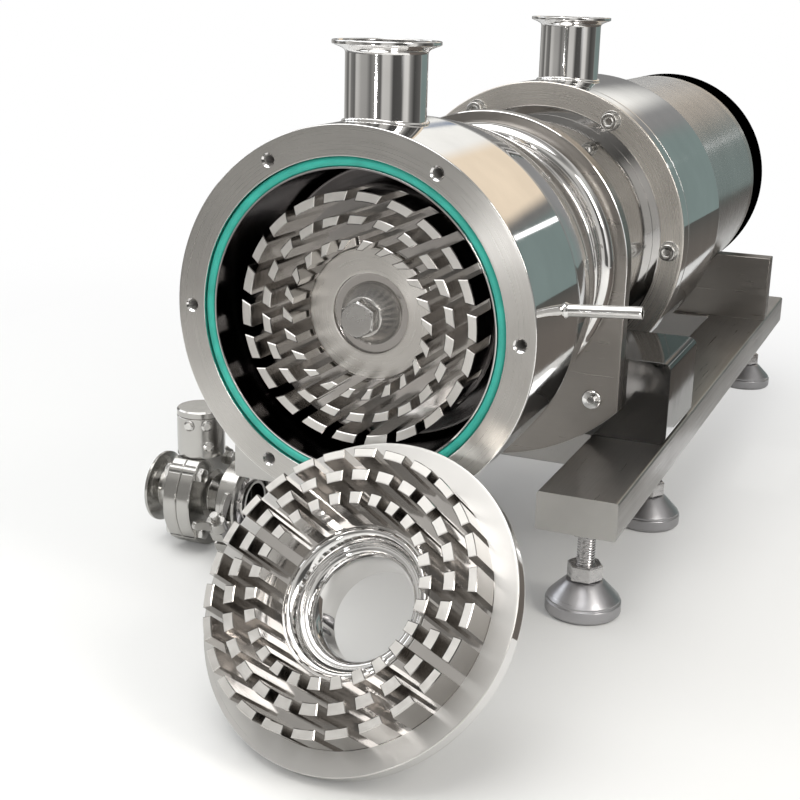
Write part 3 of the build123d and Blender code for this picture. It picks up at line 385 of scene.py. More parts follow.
def turned(rows, place=shaft, segments=288, swell=None, angles=None, steps=4):
    """A closed surface of revolution. Point (i, j) is the rounded outline's point i turned by angle j:
    radius times cosine and sine across the axis, and its height along it. Where a row asks for it,
    the radius grows by swell(angle)."""
    outline = rounded(rows, steps)
    if angles is None:
        angles = np.linspace(0, 2 * np.pi, segments + 1)[:-1]
    extra = np.zeros(len(angles)) if swell is None else swell(angles)
    radius = outline[:, :1] + outline[:, 2:] * extra[None, :]
    local = grid(radius * np.cos(angles), radius * np.sin(angles), outline[:, 1:2], 1.0)
    points = local @ place.T
    around = np.append(angles, angles[0] + 2 * np.pi) / (2 * np.pi)
    sides = np.linalg.norm(np.diff(np.vstack([outline, outline[:1]])[:, :2], axis=0), axis=1)
    length = np.concatenate([[0], np.cumsum(sides)])
    corners = grid(around, length[:, None])
    return quads(points, corners, close_rows=True, close_columns=True)


def drill(piece, holes, sides=40):
    """Cuts round holes. Each hole is (start, direction, radius, depth) in millimetres, and a rod of that
    size is taken away from the piece. A fifth number widens its mouth by that much, at 45 degrees."""
    rods = []
    for start, direction, radius, depth, *mouth in holes:
        along = np.array(direction, float) / np.linalg.norm(direction)
        first = np.cross(along, (0.31, 0.87, 0.38))
        first = first / np.linalg.norm(first)
        place = axes(start, first, np.cross(along, first), along)
        flare = [(radius + mouth[0], 0), (radius, mouth[0])] if mouth else [(radius, 0)]
        rods.append(turned([(0, 0), *flare, (radius, depth), (0, depth)], place, sides))
    cutter = surface("cutter", rods)
    modifier = piece.modifiers.new("holes", "BOOLEAN")
    modifier.object = cutter
    modifier.operation = "DIFFERENCE"
    modifier.solver = "EXACT"
    bpy.context.view_layer.update()
    shown = piece.evaluated_get(bpy.context.evaluated_depsgraph_get())
    cut = bpy.data.meshes.new_from_object(shown)
    piece.modifiers.clear()
    piece.data = cut
    smoothed(cut, 32)
    bpy.data.objects.remove(cutter)


def paint(piece, materials, pick=None):
    """Gives a piece its materials. pick takes face centres in millimetres and face normals and
    returns the number of the material for each face."""
    piece.data.materials.clear()
    for material in materials:
        piece.data.materials.append(material)
    faces = piece.data.polygons
    number = np.zeros(len(faces), int)
    if pick is not None:
        centres = np.zeros(len(faces) * 3)
        normals = np.zeros(len(faces) * 3)
        faces.foreach_get("center", centres)
        faces.foreach_get("normal", normals)
        number = pick(centres.reshape(-1, 3) * 1000, normals.reshape(-1, 3)).astype(int)
    faces.foreach_set("material_index", number)


def fit(piece, materials, node=None, body="pump", pick=None):
    """Paints the piece, which moves with the body and stands for the node."""
    paint(piece, materials, pick)
    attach(piece, body)
    if node:
        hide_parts(node)


def two_tones(tree, share, colour, dark, light):
    """The colour times dark where the share is low and times light where it is high."""
    shade = add(tree, "ValToRGB", {0: share})
    for stop, position, factor in zip(shade.color_ramp.elements, (0.3, 0.7), (dark, light)):
        stop.position = position
        stop.color = (*(min(factor * part, 1) for part in colour), 1)
    return shade.outputs["Color"]


def steel(name, colour, rough, spread=0.05, anisotropy=0.0, grain=(400, 400, 400), streaks=None,
          bump=0.0, wave=0.0, shine=1.0):
    """Metal. Its roughness wanders about rough by spread, over a noise stretched by grain; streaks
    (round, along) lays the noise along the piece's own turning lines instead, and anisotropy spreads the
    light across those lines. bump presses that noise into the surface and wave adds the slow ripple of
    hand polishing. A shine under 1 is a finely blasted or worn surface that also scatters light."""
    material, tree, shader = nodes_of(name, {"Metallic": shine})
    place = add(tree, "TexCoord")
    mapping = add(tree, "Mapping", {"Vector": place.outputs["UV" if streaks else "Object"],
                                    "Scale": (*streaks, 1) if streaks else grain})
    noise = add(tree, "TexNoise", {"Vector": mapping.outputs[0], "Detail": 5.0, "Roughness": 0.6,
                                   "Scale": 1.0})
    wander = add(tree, "MapRange", {"Value": noise.outputs["Fac"], "From Min": 0.3, "From Max": 0.7,
                                    "To Min": max(rough - spread, 0.01), "To Max": rough + spread})
    cloud = add(tree, "TexNoise", {"Vector": place.outputs["Object"], "Scale": 28.0, "Detail": 3.0})
    fill(tree, shader, {"Roughness": wander.outputs[0],
                        "Base Color": two_tones(tree, cloud.outputs["Fac"], colour, 0.90, 1.04)})
    if anisotropy:
        tangent = add(tree, "Tangent", direction_type="UV_MAP", uv_map="along")
        fill(tree, shader, {"Anisotropic": anisotropy, "Anisotropic Rotation": 0.25,
                            "Tangent": tangent.outputs[0]})
    if bump or wave:
        press = add(tree, "Bump", {"Strength": 1.0, "Distance": bump * 0.001,
                                   "Height": noise.outputs["Fac"]})
        fill(tree, shader, {"Normal": press.outputs[0]})
    if wave:
        slow = add(tree, "TexNoise", {"Vector": place.outputs["Object"], "Scale": 16.0, "Detail": 1.0})
        ripple = add(tree, "Bump", {"Strength": 1.0, "Distance": wave * 0.001,
                                    "Height": slow.outputs["Fac"]})
        fill(tree, press, {"Normal": ripple.outputs[0]})
    return material


def span(node):
    """Lowest and highest corner of a node in millimetres."""
    low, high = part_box(node)
    return np.array(low) * 1000, np.array(high) * 1000


def lathe(name, node, rows, materials, pick=None, holes=(), body="pump", slot="polished_steel",
          smooth=32, **shape):
    """A turned piece, drilled, painted and fitted in place of a node. turned takes the shape."""
    piece = surface(name, [turned(rows, **shape)], smooth)
    if holes:
        drill(piece, holes)
    fit(piece, materials, node, body, pick)


mirror_steel = steel("mirror_steel", (0.80, 0.79, 0.78), 0.055, 0.03, grain=(60, 60, 60), wave=0.08)
faced_steel = steel("faced_steel", (0.58, 0.565, 0.54), 0.30, 0.05, anisotropy=0.8, streaks=(3, 2.2),
                    bump=0.004)
# The bore's steel is dark: painted shade inside the chamber.
bore_shade_steel = steel("bore_shade_steel", (0.21, 0.20, 0.20), 0.12, 0.05, streaks=(2, 1.5), bump=0.003)
low, high = span("chamber_casing")
chamber_radius = (high[0] - low[0]) / 2
chamber_length = high[1]
bore_radius = 70.2
straight = 64.6
end_radius = 85.5
taper_curve = 630.0


def taper(start, end, steps=9):
    """Points between start and end on the arc that joins them and bulges outwards. Its centre is found
    from the chord's middle."""
    start, end = np.array(start, float), np.array(end, float)
    chord = end - start
    half = np.linalg.norm(chord) / 2
    normal = np.array([-chord[1], chord[0]]) / (2 * half)
    centre = (start + end) / 2 + normal * np.sqrt(taper_curve ** 2 - half ** 2)
    if centre[0] > start[0]:
        centre = (start + end) / 2 - normal * np.sqrt(taper_curve ** 2 - half ** 2)
    first = np.arctan2(start[1] - centre[1], start[0] - centre[0])
    last = np.arctan2(end[1] - centre[1], end[0] - centre[0])
    turn = np.linspace(first, last, steps)
    arc = [(centre[0] + taper_curve * np.cos(a), centre[1] + taper_curve * np.sin(a), 0) for a in turn]
    return arc[1:-1]


casing_rows = [(chamber_radius, 0, 0.7), (chamber_radius, straight - 1.3),
               (chamber_radius, straight - 0.5), (chamber_radius - 0.15, straight),
               (chamber_radius, straight + 0.4), (chamber_radius - 0.10, straight + 1.0),
               *taper((chamber_radius, straight), (end_radius, chamber_length)),
               (end_radius, chamber_length, 0.5), (56, chamber_length, 0.5), (56, 70),
               (26.1, 70, 0.5), (26.1, 58, 0.5), (bore_radius, 58, 3), (bore_radius, 1.5, 0.35),
               (71.2, 1.5, 0.3), (71.2, 5.3, 0.4), (75.9, 5.3, 0.4), (75.9, 0, 0.35)]
cover_pattern = next(m for m in frame["record"]["mounts"] if m["name"] == "cover_holes")
hole_circle = cover_pattern["dims"]["pcd_mm"] / 2
hole_count = cover_pattern["dims"]["count"]
hole_angles = 2 * np.pi * np.arange(hole_count) / hole_count
tube_outer, tube_inner = 19.05, 17.4
port_y = (span("outlet_nozzle")[0][1] + span("outlet_nozzle")[1][1]) / 2
drain_y, drain_z = 43.0, 8.0
drain_rise = radians(4.3)
drain_outer, drain_inner = 2.9, 1.9
drain_hole_x = 60
drain_hole_back = 29.6  # from the drain's root in to the start of its hole
drain_hole_z = drain_z - drain_hole_back * np.tan(drain_rise)
tapped_radius, tapped_depth, tapped_chamfer = 2.5, 15, 1.85
casing_holes = [((hole_circle * np.cos(a), -1, hole_circle * np.sin(a)), (0, 1, 0), tapped_radius,
                 tapped_depth, tapped_chamfer) for a in hole_angles]
casing_holes.append(((0, port_y, 20), (0, 0, 1), tube_inner, 80))
casing_holes.append(((drain_hole_x, drain_y, drain_hole_z), (1, 0, np.tan(drain_rise)), drain_inner, 40))


def casing_finish_and_shade(centre, normal):
    """1 on the machined face, 2 in the bore, whose dark steel is painted shade, and 0 elsewhere."""
    radius = np.hypot(centre[:, 0], centre[:, 2])
    face = (centre[:, 1] < 0.9) & (radius > 75) & (normal[:, 1] < -0.9)
    groove = (radius > 70.5) & (centre[:, 1] < 6)
    bore = (radius < 75.5) & ~face & (centre[:, 1] < chamber_length - 1) & ~groove
    return np.where(face, 1, np.where(bore & (centre[:, 1] < 72), 2, 0))


lathe("casing", "chamber_casing", casing_rows, [mirror_steel, faced_steel, bore_shade_steel], casing_finish_and_shade,
      casing_holes)


# Threads of the six tapped holes, from just inside their chamfers.
def thread(root, depth, pitch, heights, hand, sides):
    """A screw thread: its radius swings from root to root plus depth and back with height over pitch,
    and with hand times the share of a turn. The result is a grid of radii, and the angles and heights."""
    angles = np.linspace(0, 2 * np.pi, sides + 1)
    heights = heights[:, None]
    swing = np.abs(((heights / pitch + hand * angles / (2 * np.pi)) % 1) * 2 - 1)
    return root + depth * swing, angles, heights


def thread_grid(place, radius, angles, heights):
    """The quads of a thread about the place's axis."""
    local = grid(radius * np.cos(angles), radius * np.sin(angles), heights, 1.0)
    return quads(local @ place.T, grid(angles, heights))


hole_root, hole_thread_depth, hole_pitch = 2.22, 0.28, 1.0
hole_thread = thread(hole_root, hole_thread_depth, hole_pitch, np.linspace(0.9, 13.5, 64), 1, 36)
hole_grids = []
for a in hole_angles:
    place = along_shaft(hole_circle * np.cos(a), 0, hole_circle * np.sin(a))
    hole_grids.append(thread_grid(place, *hole_thread))
hole_threads = surface("hole_threads", hole_grids, smooth=60)
fit(hole_threads, [steel("thread_steel", (0.66, 0.64, 0.62), 0.35, shine=0.5)])


# Face seal ring: a green moulded rubber ring lying in the groove round the chamber's mouth.
def rubber(name, colour, rough, mottling=0.15):
    """Rubber: a dull dielectric with a faint mottling and a fine moulded grain."""
    material, tree, shader = nodes_of(name, {"Roughness": rough, "Specular IOR Level": 0.45})
    place = add(tree, "TexCoord").outputs["Object"]
    noise = add(tree, "TexNoise", {"Vector": place, "Scale": 90.0, "Detail": 6.0})
    fine = add(tree, "TexNoise", {"Vector": place, "Scale": 1800.0})
    press = add(tree, "Bump", {"Strength": 0.4, "Distance": 0.00004, "Height": fine.outputs["Fac"]})
    fill(tree, shader, {
        "Base Color": two_tones(tree, noise.outputs["Fac"], colour, 1 - mottling, 1 + mottling),
        "Normal": press.outputs[0]})
    return material


low, high = span("face_seal_ring")
seal_section = (high[1] - low[1]) / 2
seal_circle = (high[0] - low[0]) / 2 - seal_section
seal_y = (high[1] + low[1]) / 2
section_turn = np.linspace(0, 2 * np.pi, 25)[:-1]
seal_rows = grid(seal_circle + seal_section * np.cos(section_turn),
                 seal_y + seal_section * np.sin(section_turn))
green_rubber = rubber("green_rubber", (0.035, 0.42, 0.33), 0.42)
lathe("face_seal", "face_seal_ring", seal_rows, [green_rubber], slot="seal_green", smooth=180)


# Outlet and rear nozzles: sanitary tube with a clamp ferrule, welded upright on each casing. The tube's
# foot follows the casing's curve, with a ground weld round it.
def nozzle(name, node, casing_radius):
    """The foot's height is the root of casing radius squared less distance from the shaft squared; the
    weld is a small circle carried along that curve, its size rippling with the welder's steps."""
    low, high = span(node)
    centre_y = (low[1] + high[1]) / 2
    top = high[2]
    edge = (high[0] - low[0]) / 2
    rows = [(tube_inner, 60, 0), (tube_outer, 60, 0), (tube_outer, top - 7.2, 0),
            (tube_outer, top - 4.4, 2.5), (tube_outer + 2.6, top - 3.1, 0.6),
            (edge, top - 1.75, 0.5), (edge, top, 0.5),
            (tube_inner + 5.8, top, 0.2), (tube_inner + 5.2, top - 0.9, 0.3),
            (tube_inner + 3.4, top - 0.9, 0.3), (tube_inner + 2.8, top, 0.2), (tube_inner, top, 0.5)]
    points, faces, corners = turned(rows, upright(0, centre_y, 0), 144)
    foot = points[:, 2] < 61
    points[foot, 2] = np.sqrt(casing_radius ** 2 - points[foot, 0] ** 2) + 0.12
    around = np.linspace(0, 2 * np.pi, 289)
    bead = np.linspace(0, 2 * np.pi, 13)[:, None]
    size = 1.15 + 0.10 * np.sin(around * 58) * np.clip(np.sin(around * 3 + 1), 0, 1)
    radius = tube_outer + 0.35 + size * np.cos(bead)
    seat = np.sqrt(casing_radius ** 2 - (radius * np.cos(around)) ** 2)
    height = seat + 0.2 + 0.8 * size * np.sin(bead)
    weld = grid(radius * np.cos(around), centre_y + radius * np.sin(around), height)
    piece = surface(name, [(points, faces, corners), quads(weld, grid(around, bead))])
    fit(piece, [mirror_steel, tube_bore], node,
        pick=lambda c, n: np.hypot(c[:, 0], c[:, 1] - centre_y) < tube_inner + 0.1)


tube_bore = steel("tube_bore", (0.42, 0.41, 0.40), 0.18, 0.05, grain=(80, 80, 400))
nozzle("outlet_tube", "outlet_nozzle", chamber_radius)
flange_radius = (span("rear_casing")[1][0] - span("rear_casing")[0][0]) / 2
nozzle("rear_tube", "rear_nozzle", flange_radius)

# Drain tube: a short open capillary tube, welded into the chamber's side and rising a little.
low, high = span("drain_tube")
drain_root = np.array([np.sqrt(chamber_radius ** 2 - drain_z ** 2), drain_y, drain_z])
drain_way = np.array([np.cos(drain_rise), 0, np.sin(drain_rise)])
drain_length = (high[0] - drain_root[0]) / np.cos(drain_rise) - 0.1
drain_place = axes(drain_root, (0, 1, 0), np.cross(drain_way, (0, 1, 0)), drain_way)
drain_rows = [(drain_inner, -0.9), (3.9, -0.9), (3.7, 0.5), (3.05, 1.6, 0.8),
              (drain_outer, 3.0), (drain_outer, drain_length, 0.35), (drain_inner, drain_length, 0.3)]
lathe("drain", "drain_tube", drain_rows, [mirror_steel, tube_bore], place=drain_place, segments=48,
      pick=lambda c, n: np.linalg.norm(np.cross(c - drain_root, drain_way), axis=1) < drain_inner + 0.05)

# Chamber back and seal housing: the tapered intermediate piece and the polished bead behind it.
# Both are turned and mirror polished, with a dark open joint between them.
low, high = span("chamber_back")
back_start, back_end = low[1], high[1]
back_end_radius = 72.9
back_rows = [(end_radius, back_start, 0.5),
             *taper((end_radius, back_start), (back_end_radius, back_end), 17),
             (back_end_radius, back_end, 0.8), (56, back_end, 0.5), (56, back_start, 0.5)]
lathe("back", "chamber_back", back_rows, [mirror_steel])
low, high = span("seal_housing")
bead_radius = (high[0] - low[0]) / 2
bead_start = high[1] - 12.4
bead_turn = np.linspace(-np.pi / 2, np.pi / 2, 17)
bead = [(bead_radius - 6 + 6 * np.cos(a), bead_start + 6.2 + 6.1 * np.sin(a)) for a in bead_turn]
housing_rows = [(36, low[1], 0.5), (69.0, low[1], 0.4), (69.0, low[1] + 2.6, 0.2),
                (70.0, low[1] + 3.0, 0.2), (70.0, bead_start, 0.4), *bead, (36, high[1], 0.5)]
lathe("bead", "seal_housing", housing_rows, [mirror_steel])

# Bracket plate: cut from plate and ground, round on top, straight at the sides and an arc at the foot,
# with a bright broken edge. Two round-headed screws hold it to the blocks behind it.
low, high = span("bracket_plate")
plate_side = high[0]
plate_foot = 115.8
plate_corner = np.arcsin(np.sqrt(plate_foot ** 2 - plate_side ** 2) / plate_foot)


def plate_edge(angles):
    """Extra radius of the plate over its round top: side over cosine below the middle, and no more
    than the foot's arc."""
    below = np.sin(angles) < 0
    across = plate_side / np.maximum(np.abs(np.cos(angles)), 1e-6)
    return np.where(below, np.minimum(across, plate_foot), plate_side) - plate_side


plate_angles = np.unique(np.concatenate([np.linspace(0, 2 * np.pi, 721)[:-1],
                                         [2 * np.pi - plate_corner, np.pi + plate_corner]]))
plate_rows = [(40, low[1], 0.4, 0), (plate_side, low[1], 0.9, 1), (plate_side, high[1], 0.6, 1),
              (40, high[1], 0.4, 0)]
ground_steel = steel("ground_steel", (0.32, 0.30, 0.28), 0.34, 0.08, grain=(30, 30, 900), bump=0.006)


def plate_finish(centre, normal):
    """1 on the broken edge at the front, and 0 elsewhere."""
    outside = np.hypot(centre[:, 0], centre[:, 2]) > 60
    return (np.abs(normal[:, 1]) < 0.9) & outside & (centre[:, 1] < low[1] + 1.2)


lathe("plate", "bracket_plate", plate_rows, [ground_steel, mirror_steel], plate_finish,
      slot="satin_steel", smooth=25, swell=plate_edge, angles=plate_angles, steps=3)


def hexagonal(radius):
    """How much a hexagon of this corner radius falls short of its circle, by angle."""
    def extra(angles):
        return radius * (np.cos(np.pi / 6) / np.cos((angles % (np.pi / 3)) - np.pi / 6) - 1)
    return extra


bolt_x, bolt_z = 68.8, -73.8
bolt_rows = [(0, 0.6, 0), (0, -2.9, 0), (1.9, -2.9, 0), (2.1, -3.2, 0.1), (4.9, -3.0, 0.3),
             (5.6, -2.4, 0.5), (5.6, -0.05, 0.2), (2.5, 0.6, 0)]
bracket_screws = []
for x in (-bolt_x, bolt_x):
    place = along_shaft(x, span("bracket_plate")[0][1], bolt_z)
    bracket_screws.append(turned(bolt_rows, place, 72))
fit(surface("bracket_screws", bracket_screws), [mirror_steel], "bracket_bolts")

# Bearing housing: the polished neck between plate and flange, with a small drilled grease point.
low, high = span("bearing_housing")
neck_radius = (high[0] - low[0]) / 2
grease_turn, grease_y = radians(52), 223
grease_radius, grease_depth = 2.2, 5
grease_way = np.array((np.cos(grease_turn), 0, np.sin(grease_turn)))
grease_start = grease_way * (neck_radius + 2) + (0, grease_y, 0)
neck_steel = steel("neck_steel", (0.46, 0.45, 0.44), 0.06, 0.03, grain=(60, 60, 60), wave=0.12)
neck_rows = [(38, low[1], 0.5), (neck_radius, low[1], 0.8), (neck_radius, high[1], 0.6),
             (38, high[1], 0.5)]
lathe("neck", "bearing_housing", neck_rows, [neck_steel],
      holes=[(tuple(grease_start), tuple(-grease_way), grease_radius, grease_depth)])

# Mounting flange: a turned disc, its face left as machined, recessed round the neck, and held by six
# socket cap screws on flat washers.
low, high = span("mounting_flange")
flange_front, flange_back = low[1], high[1]
recess_radius, recess_floor = 80.5, flange_front + 3
flange_steel = steel("flange_steel", (0.72, 0.68, 0.63), 0.28, 0.05, anisotropy=0.7, streaks=(3, 2.2),
                     bump=0.004, shine=0.85)
flange_rows = [(34, flange_back), (flange_radius, flange_back, 0.5), (flange_radius, flange_front, 0.9),
               (recess_radius, flange_front, 0.6), (recess_radius, recess_floor, 0.5), (34, recess_floor)]
lathe("flange", "mounting_flange", flange_rows, [mirror_steel, flange_steel],
      lambda c, n: (c[:, 1] < flange_front + 0.5) & (n[:, 1] < -0.5), slot="satin_steel")
screw_circle = 86.4
first_screw = -1.4
screw_turn = np.radians(first_screw + 60 * np.arange(6))
socket_radius = 2.9
washer_rows = [(2.8, 0, 0.1), (2.8, -1.2, 0.1), (6.2, -1.2, 0.25), (6.2, 0, 0.25)]
cap_rows = [(0, 8, 0, 0), (0, -4.6, 0, 0), (2.35, -4.6, 0, 1), (2.45, -7.0, 0.2, 1), (3.1, -7.3, 0.2, 0),
            (5.0, -7.3, 0.7, 0), (5.0, -1.3, 0.2, 0), (2.5, -1.2, 0, 0), (2.5, 8, 0, 0)]
washers, caps = [], []
for a in screw_turn:
    place = along_shaft(screw_circle * np.cos(a), flange_front, screw_circle * np.sin(a))
    washers.append(turned(washer_rows, place, 60))
    caps.append(turned(cap_rows, place, 60, hexagonal(socket_radius)))
screw_steel = steel("screw_steel", (0.70, 0.69, 0.67), 0.2, 0.08, grain=(300, 300, 300))
fit(surface("washers", washers), [screw_steel], "flange_washers")
fit(surface("cap_screws", caps), [screw_steel], "flange_screws")

# Rear casing: a mirror-polished drum behind the flange, bored for its own nozzle.
low, high = span("rear_casing")
rear_port_y = 330.1
rear_rows = [(80, low[1], 0.4), (flange_radius, low[1], 0.6), (flange_radius, high[1], 2.5),
             (19, high[1], 0.5), (19, high[1] - 12, 0.5), (80, high[1] - 12, 2)]
lathe("rear_drum", "rear_casing", rear_rows, [mirror_steel],
      holes=[((0, rear_port_y, 20), (0, 0, 1), tube_inner, 90)])


# Motor: flange, drawn shell and end shield, all plain turned stainless, and a pressed fan cover.
def plain_drum(name, node, rows, material):
    """A turned piece whose rows are (radius, share of the node's length, corner radius)."""
    low, high = span(node)
    length = high[1] - low[1]
    lathe(name, node, [(r, low[1] + share * length, c) for r, share, c in rows], [material], segments=240)


motor_radius = (span("motor_shell")[1][0] - span("motor_shell")[0][0]) / 2
motor_inner = motor_radius - 5
motor_plate_radius = 92
satin_shell = steel("satin_shell", (0.62, 0.61, 0.60), 0.26, 0.06, anisotropy=0.5, streaks=(4, 1.2),
                    bump=0.004)
plain_drum("motor_plate", "motor_flange", [
    (19, 0, 0.3), (motor_plate_radius, 0, 1.2), (motor_plate_radius, 1, 1.2), (19, 1, 0.3)], faced_steel)
plain_drum("motor_tube", "motor_shell", [
    (motor_inner, 0, 0.3), (motor_radius, 0, 0.5), (motor_radius, 1, 0.5),
    (motor_inner, 1, 0.3)], satin_shell)
plain_drum("motor_end", "motor_end_shield", [
    (17, 0.05, 0.3), (39, 0.0, 0.5), (39, 0.4, 0.5), (motor_radius, 0.4, 0.6), (motor_radius, 1, 0.6),
    (17, 1, 0.3)], faced_steel)


def from_cad(name, node, materials, body="pump", pick=None, smooth=32,
             bevel=0.0):
    """A copy of a node's mesh with its points joined, flat areas made one face, its round areas
    smoothed and, where asked for, its edges broken by bevel millimetres."""
    mesh = frame["nodes"][node].data.copy()
    if "custom_normal" in mesh.attributes:
        mesh.attributes.remove(mesh.attributes["custom_normal"])
    joined(mesh, 2e-6, flatten=True)
    smoothed(mesh, smooth)
    piece = placed(name, mesh)
    if bevel:
        edge = piece.modifiers.new("edge", "BEVEL")
        edge.width = bevel * 0.001
        edge.segments = 2
        edge.limit_method = "ANGLE"
        edge.angle_limit = radians(40)
        edge.use_clamp_overlap = True
    fit(piece, materials, node, body, pick)


from_cad("motor_cover", "fan_cover", [satin_shell])
black_plastic = rubber("black_plastic", (0.03, 0.03, 0.032), 0.4)
from_cad("motor_fan", "cooling_fan", [black_plastic], "rotating_set")

# Pedestal blocks: two polished blocks that carry the plate on the rails, their edges well rounded.
dark_polish = steel("dark_polish", (0.10, 0.097, 0.094), 0.07, 0.04, grain=(60, 60, 60), wave=0.2)
from_cad("blocks", "pedestal_blocks", [dark_polish], smooth=20, bevel=0.8)

# Base rails, cross members and motor saddle: brushed stainless rectangular tube and plate, the tube's
# ends closed by welded-in plates that were ground flush.
brushed_rail = steel("brushed_rail", (0.42, 0.41, 0.40), 0.34, 0.07, grain=(900, 18, 900), bump=0.006)
brushed_end = steel("brushed_end", (0.56, 0.55, 0.53), 0.38, 0.06, grain=(22, 900, 900), bump=0.006)
from_cad("rails", "base_rails", [brushed_rail, brushed_end],
         pick=lambda c, n: n[:, 1] < -0.7, smooth=20, bevel=0.5)
from_cad("crossings", "cross_members", [brushed_rail], bevel=0.5)
from_cad("saddle", "motor_saddle", [ground_steel], bevel=0.6)

# Levelling feet: a lock nut, a rolled threaded stem with its hexagon, and a bell-shaped pad of
# satin metal. The stem's thread is a helix: its radius swings with height and angle.
pad_steel = steel("pad_steel", (0.46, 0.455, 0.47), 0.34, 0.08, streaks=(2, 0.8), bump=0.003)
stem_steel = steel("stem_steel", (0.60, 0.59, 0.59), 0.24, 0.08, grain=(200, 200, 600))
stem_root, stem_thread_depth, stem_pitch = 4.55, 0.43, 1.5
stem_start = 27.5
hexagon_radius = 9.81
bell_turn = np.linspace(0, 1, 15)
bell_radius = 9.6 + (19.6 - 9.6) * (1 - bell_turn) ** 1.7
bell_height = 8.9 + (18.9 - 8.9) * np.sin(bell_turn * np.pi / 2) ** 0.9
pad_rows = [(0, 0.05), (19.2, 0.05, 0.8), (20.5, 1.6, 1.2), (20.5, 7.2, 0.7), (19.5, 7.9, 0.25),
            *[(r, h) for r, h in zip(bell_radius, bell_height)], (5.1, 19.0, 0.3), (5.1, 12),
            (0, 12)]
hex_rows = [(0, 19.1, 0, 0), (8.7, 19.1, 0.5, 0.9), (hexagon_radius, 19.6, 0.3, 1),
            (hexagon_radius, 27.4, 0.3, 1), (8.6, 28.1, 0.4, 0.6), (0, 28.1, 0, 0)]
nut_rows = [(5.15, 0, 0.4, 0), (8.6, 0, 0.4, 0.6), (hexagon_radius, 0.6, 0.3, 1),
            (hexagon_radius, 7.4, 0.3, 1), (8.6, 7.95, 0.4, 0.6), (5.15, 7.95, 0.4, 0)]
nut_grids = []
for number in range(1, 7):
    foot = f"foot_{number}"
    low, high = span(f"{foot}_pad")
    foot_x, foot_y = (low[0] + high[0]) / 2, (low[1] + high[1]) / 2
    place = upright(foot_x, foot_y, low[2])
    lathe(f"pad_{number}", f"{foot}_pad", pad_rows, [pad_steel], body=foot, slot="pad_grey",
          smooth=28, place=place, segments=120)
    stem_top = span(f"{foot}_stem")[1][2] - low[2]
    radius, angles, heights = thread(stem_root, stem_thread_depth, stem_pitch,
                                     np.linspace(stem_start, stem_top, 180), -1, 48)
    radius[-1] = 0
    hexagon = turned(hex_rows, place, 72, hexagonal(hexagon_radius))
    stem = surface(f"stem_{number}", [hexagon, thread_grid(place, radius, angles, heights)], smooth=50)
    fit(stem, [stem_steel], f"{foot}_stem", foot)
    nut_place = upright(foot_x, foot_y, span("foot_nuts")[0][2])
    nut_grids.append(turned(nut_rows, nut_place, 72, hexagonal(hexagon_radius)))
fit(surface("lock_nuts", nut_grids), [stem_steel], "foot_nuts")


# Rotor: a disc with three rings of teeth, all 22 slots milled straight across the three rings and to
# one side of the axis. The teeth are as the cutter left them, with their tips turned bright.
def tooth_ring(inner, outer, root, tip, count, slot, offset, first, place, break_edge=0.35):
    """Closed teeth of one ring. A slot's side lies at a constant distance d from a line through the
    axis, so at radius r it stands at the line's angle plus the arcsine of d over r. A tooth fills the
    angles between the far side of one slot and the near side of the next, and the last bit of its
    height is drawn in by break_edge all round."""
    pitch = 2 * np.pi / count
    start = first + pitch * np.arange(count)[:, None, None]

    def spots(u, v, level, inset):
        radius = (inner + inset) + (outer - inner - 2 * inset) * v
        low_side = start + np.arcsin((offset + slot / 2 + inset) / radius)
        high_side = start + pitch + np.arcsin((offset - slot / 2 - inset) / radius)
        angle = low_side + (high_side - low_side) * u
        return grid(radius * np.cos(angle), radius * np.sin(angle), level, 1.0)

    across = np.linspace(0, 1, 7)[None, :, None]
    outwards = np.linspace(0, 1, 5)[None, None, :]
    levels = np.array([root, tip - np.sign(tip - root) * break_edge, tip])
    insets = np.array([0, 0, break_edge])
    patches = [spots(across, outwards, levels[2], insets[2]), spots(across, outwards, levels[0], 0)]
    for end in (0.0, 1.0):
        patches.append(spots(np.full((1, 1, 1), end), np.linspace(0, 1, 5)[None, :, None],
                             levels[None, None, :], insets[None, None, :]))
        patches.append(spots(np.linspace(0, 1, 7)[None, :, None], np.full((1, 1, 1), end),
                             levels[None, None, :], insets[None, None, :]))
    grids = []
    for patch in patches:
        rows, columns = patch.shape[1:3]
        flat = (patch @ place.T).reshape(count * rows, columns, 3)
        corner = grid(np.arange(count * rows + 1)[:, None] * 1.0, np.arange(columns + 1) * 1.0)
        points, faces, corners = quads(flat, corner)
        keep = (faces[:, 0] // columns) % rows < rows - 1
        grids.append((points, faces[keep], corners[keep]))
    return grids


tip_steel = steel("tip_steel", (0.74, 0.72, 0.69), 0.40, 0.08, grain=(260, 260, 260), bump=0.006)
flank_steel = steel("flank_steel", (0.54, 0.52, 0.50), 0.13, 0.06, grain=(90, 700, 90), bump=0.004)
rotor_low, rotor_high = span("rotor")
rotor_tip, rotor_root, rotor_back = rotor_low[1], 27.0, 37.0
rotor_outer = (rotor_high[0] - rotor_low[0]) / 2
rotor_slots, rotor_slot, slot_offset = 22, 4.6, 21.7
first_slot = radians(5.6)
rotor_rings = [(rotor_outer - 4.6, rotor_outer), (44.6, 48.9), (32.9, 37.9)]
rotor_grids = []
for inner, outer in rotor_rings:
    rotor_grids += tooth_ring(inner, outer, rotor_root + 0.4, rotor_tip, rotor_slots, rotor_slot,
                              slot_offset, first_slot, shaft)
rotor_teeth = surface("rotor_teeth", rotor_grids, smooth=20, merge=2e-6)
fit(rotor_teeth, [flank_steel, tip_steel], "rotor", "rotating_set",
    lambda c, n: c[:, 1] < rotor_tip + 0.1)
recess_outer, recess_inner, recess_face = 31.75, 19.4, 24.4
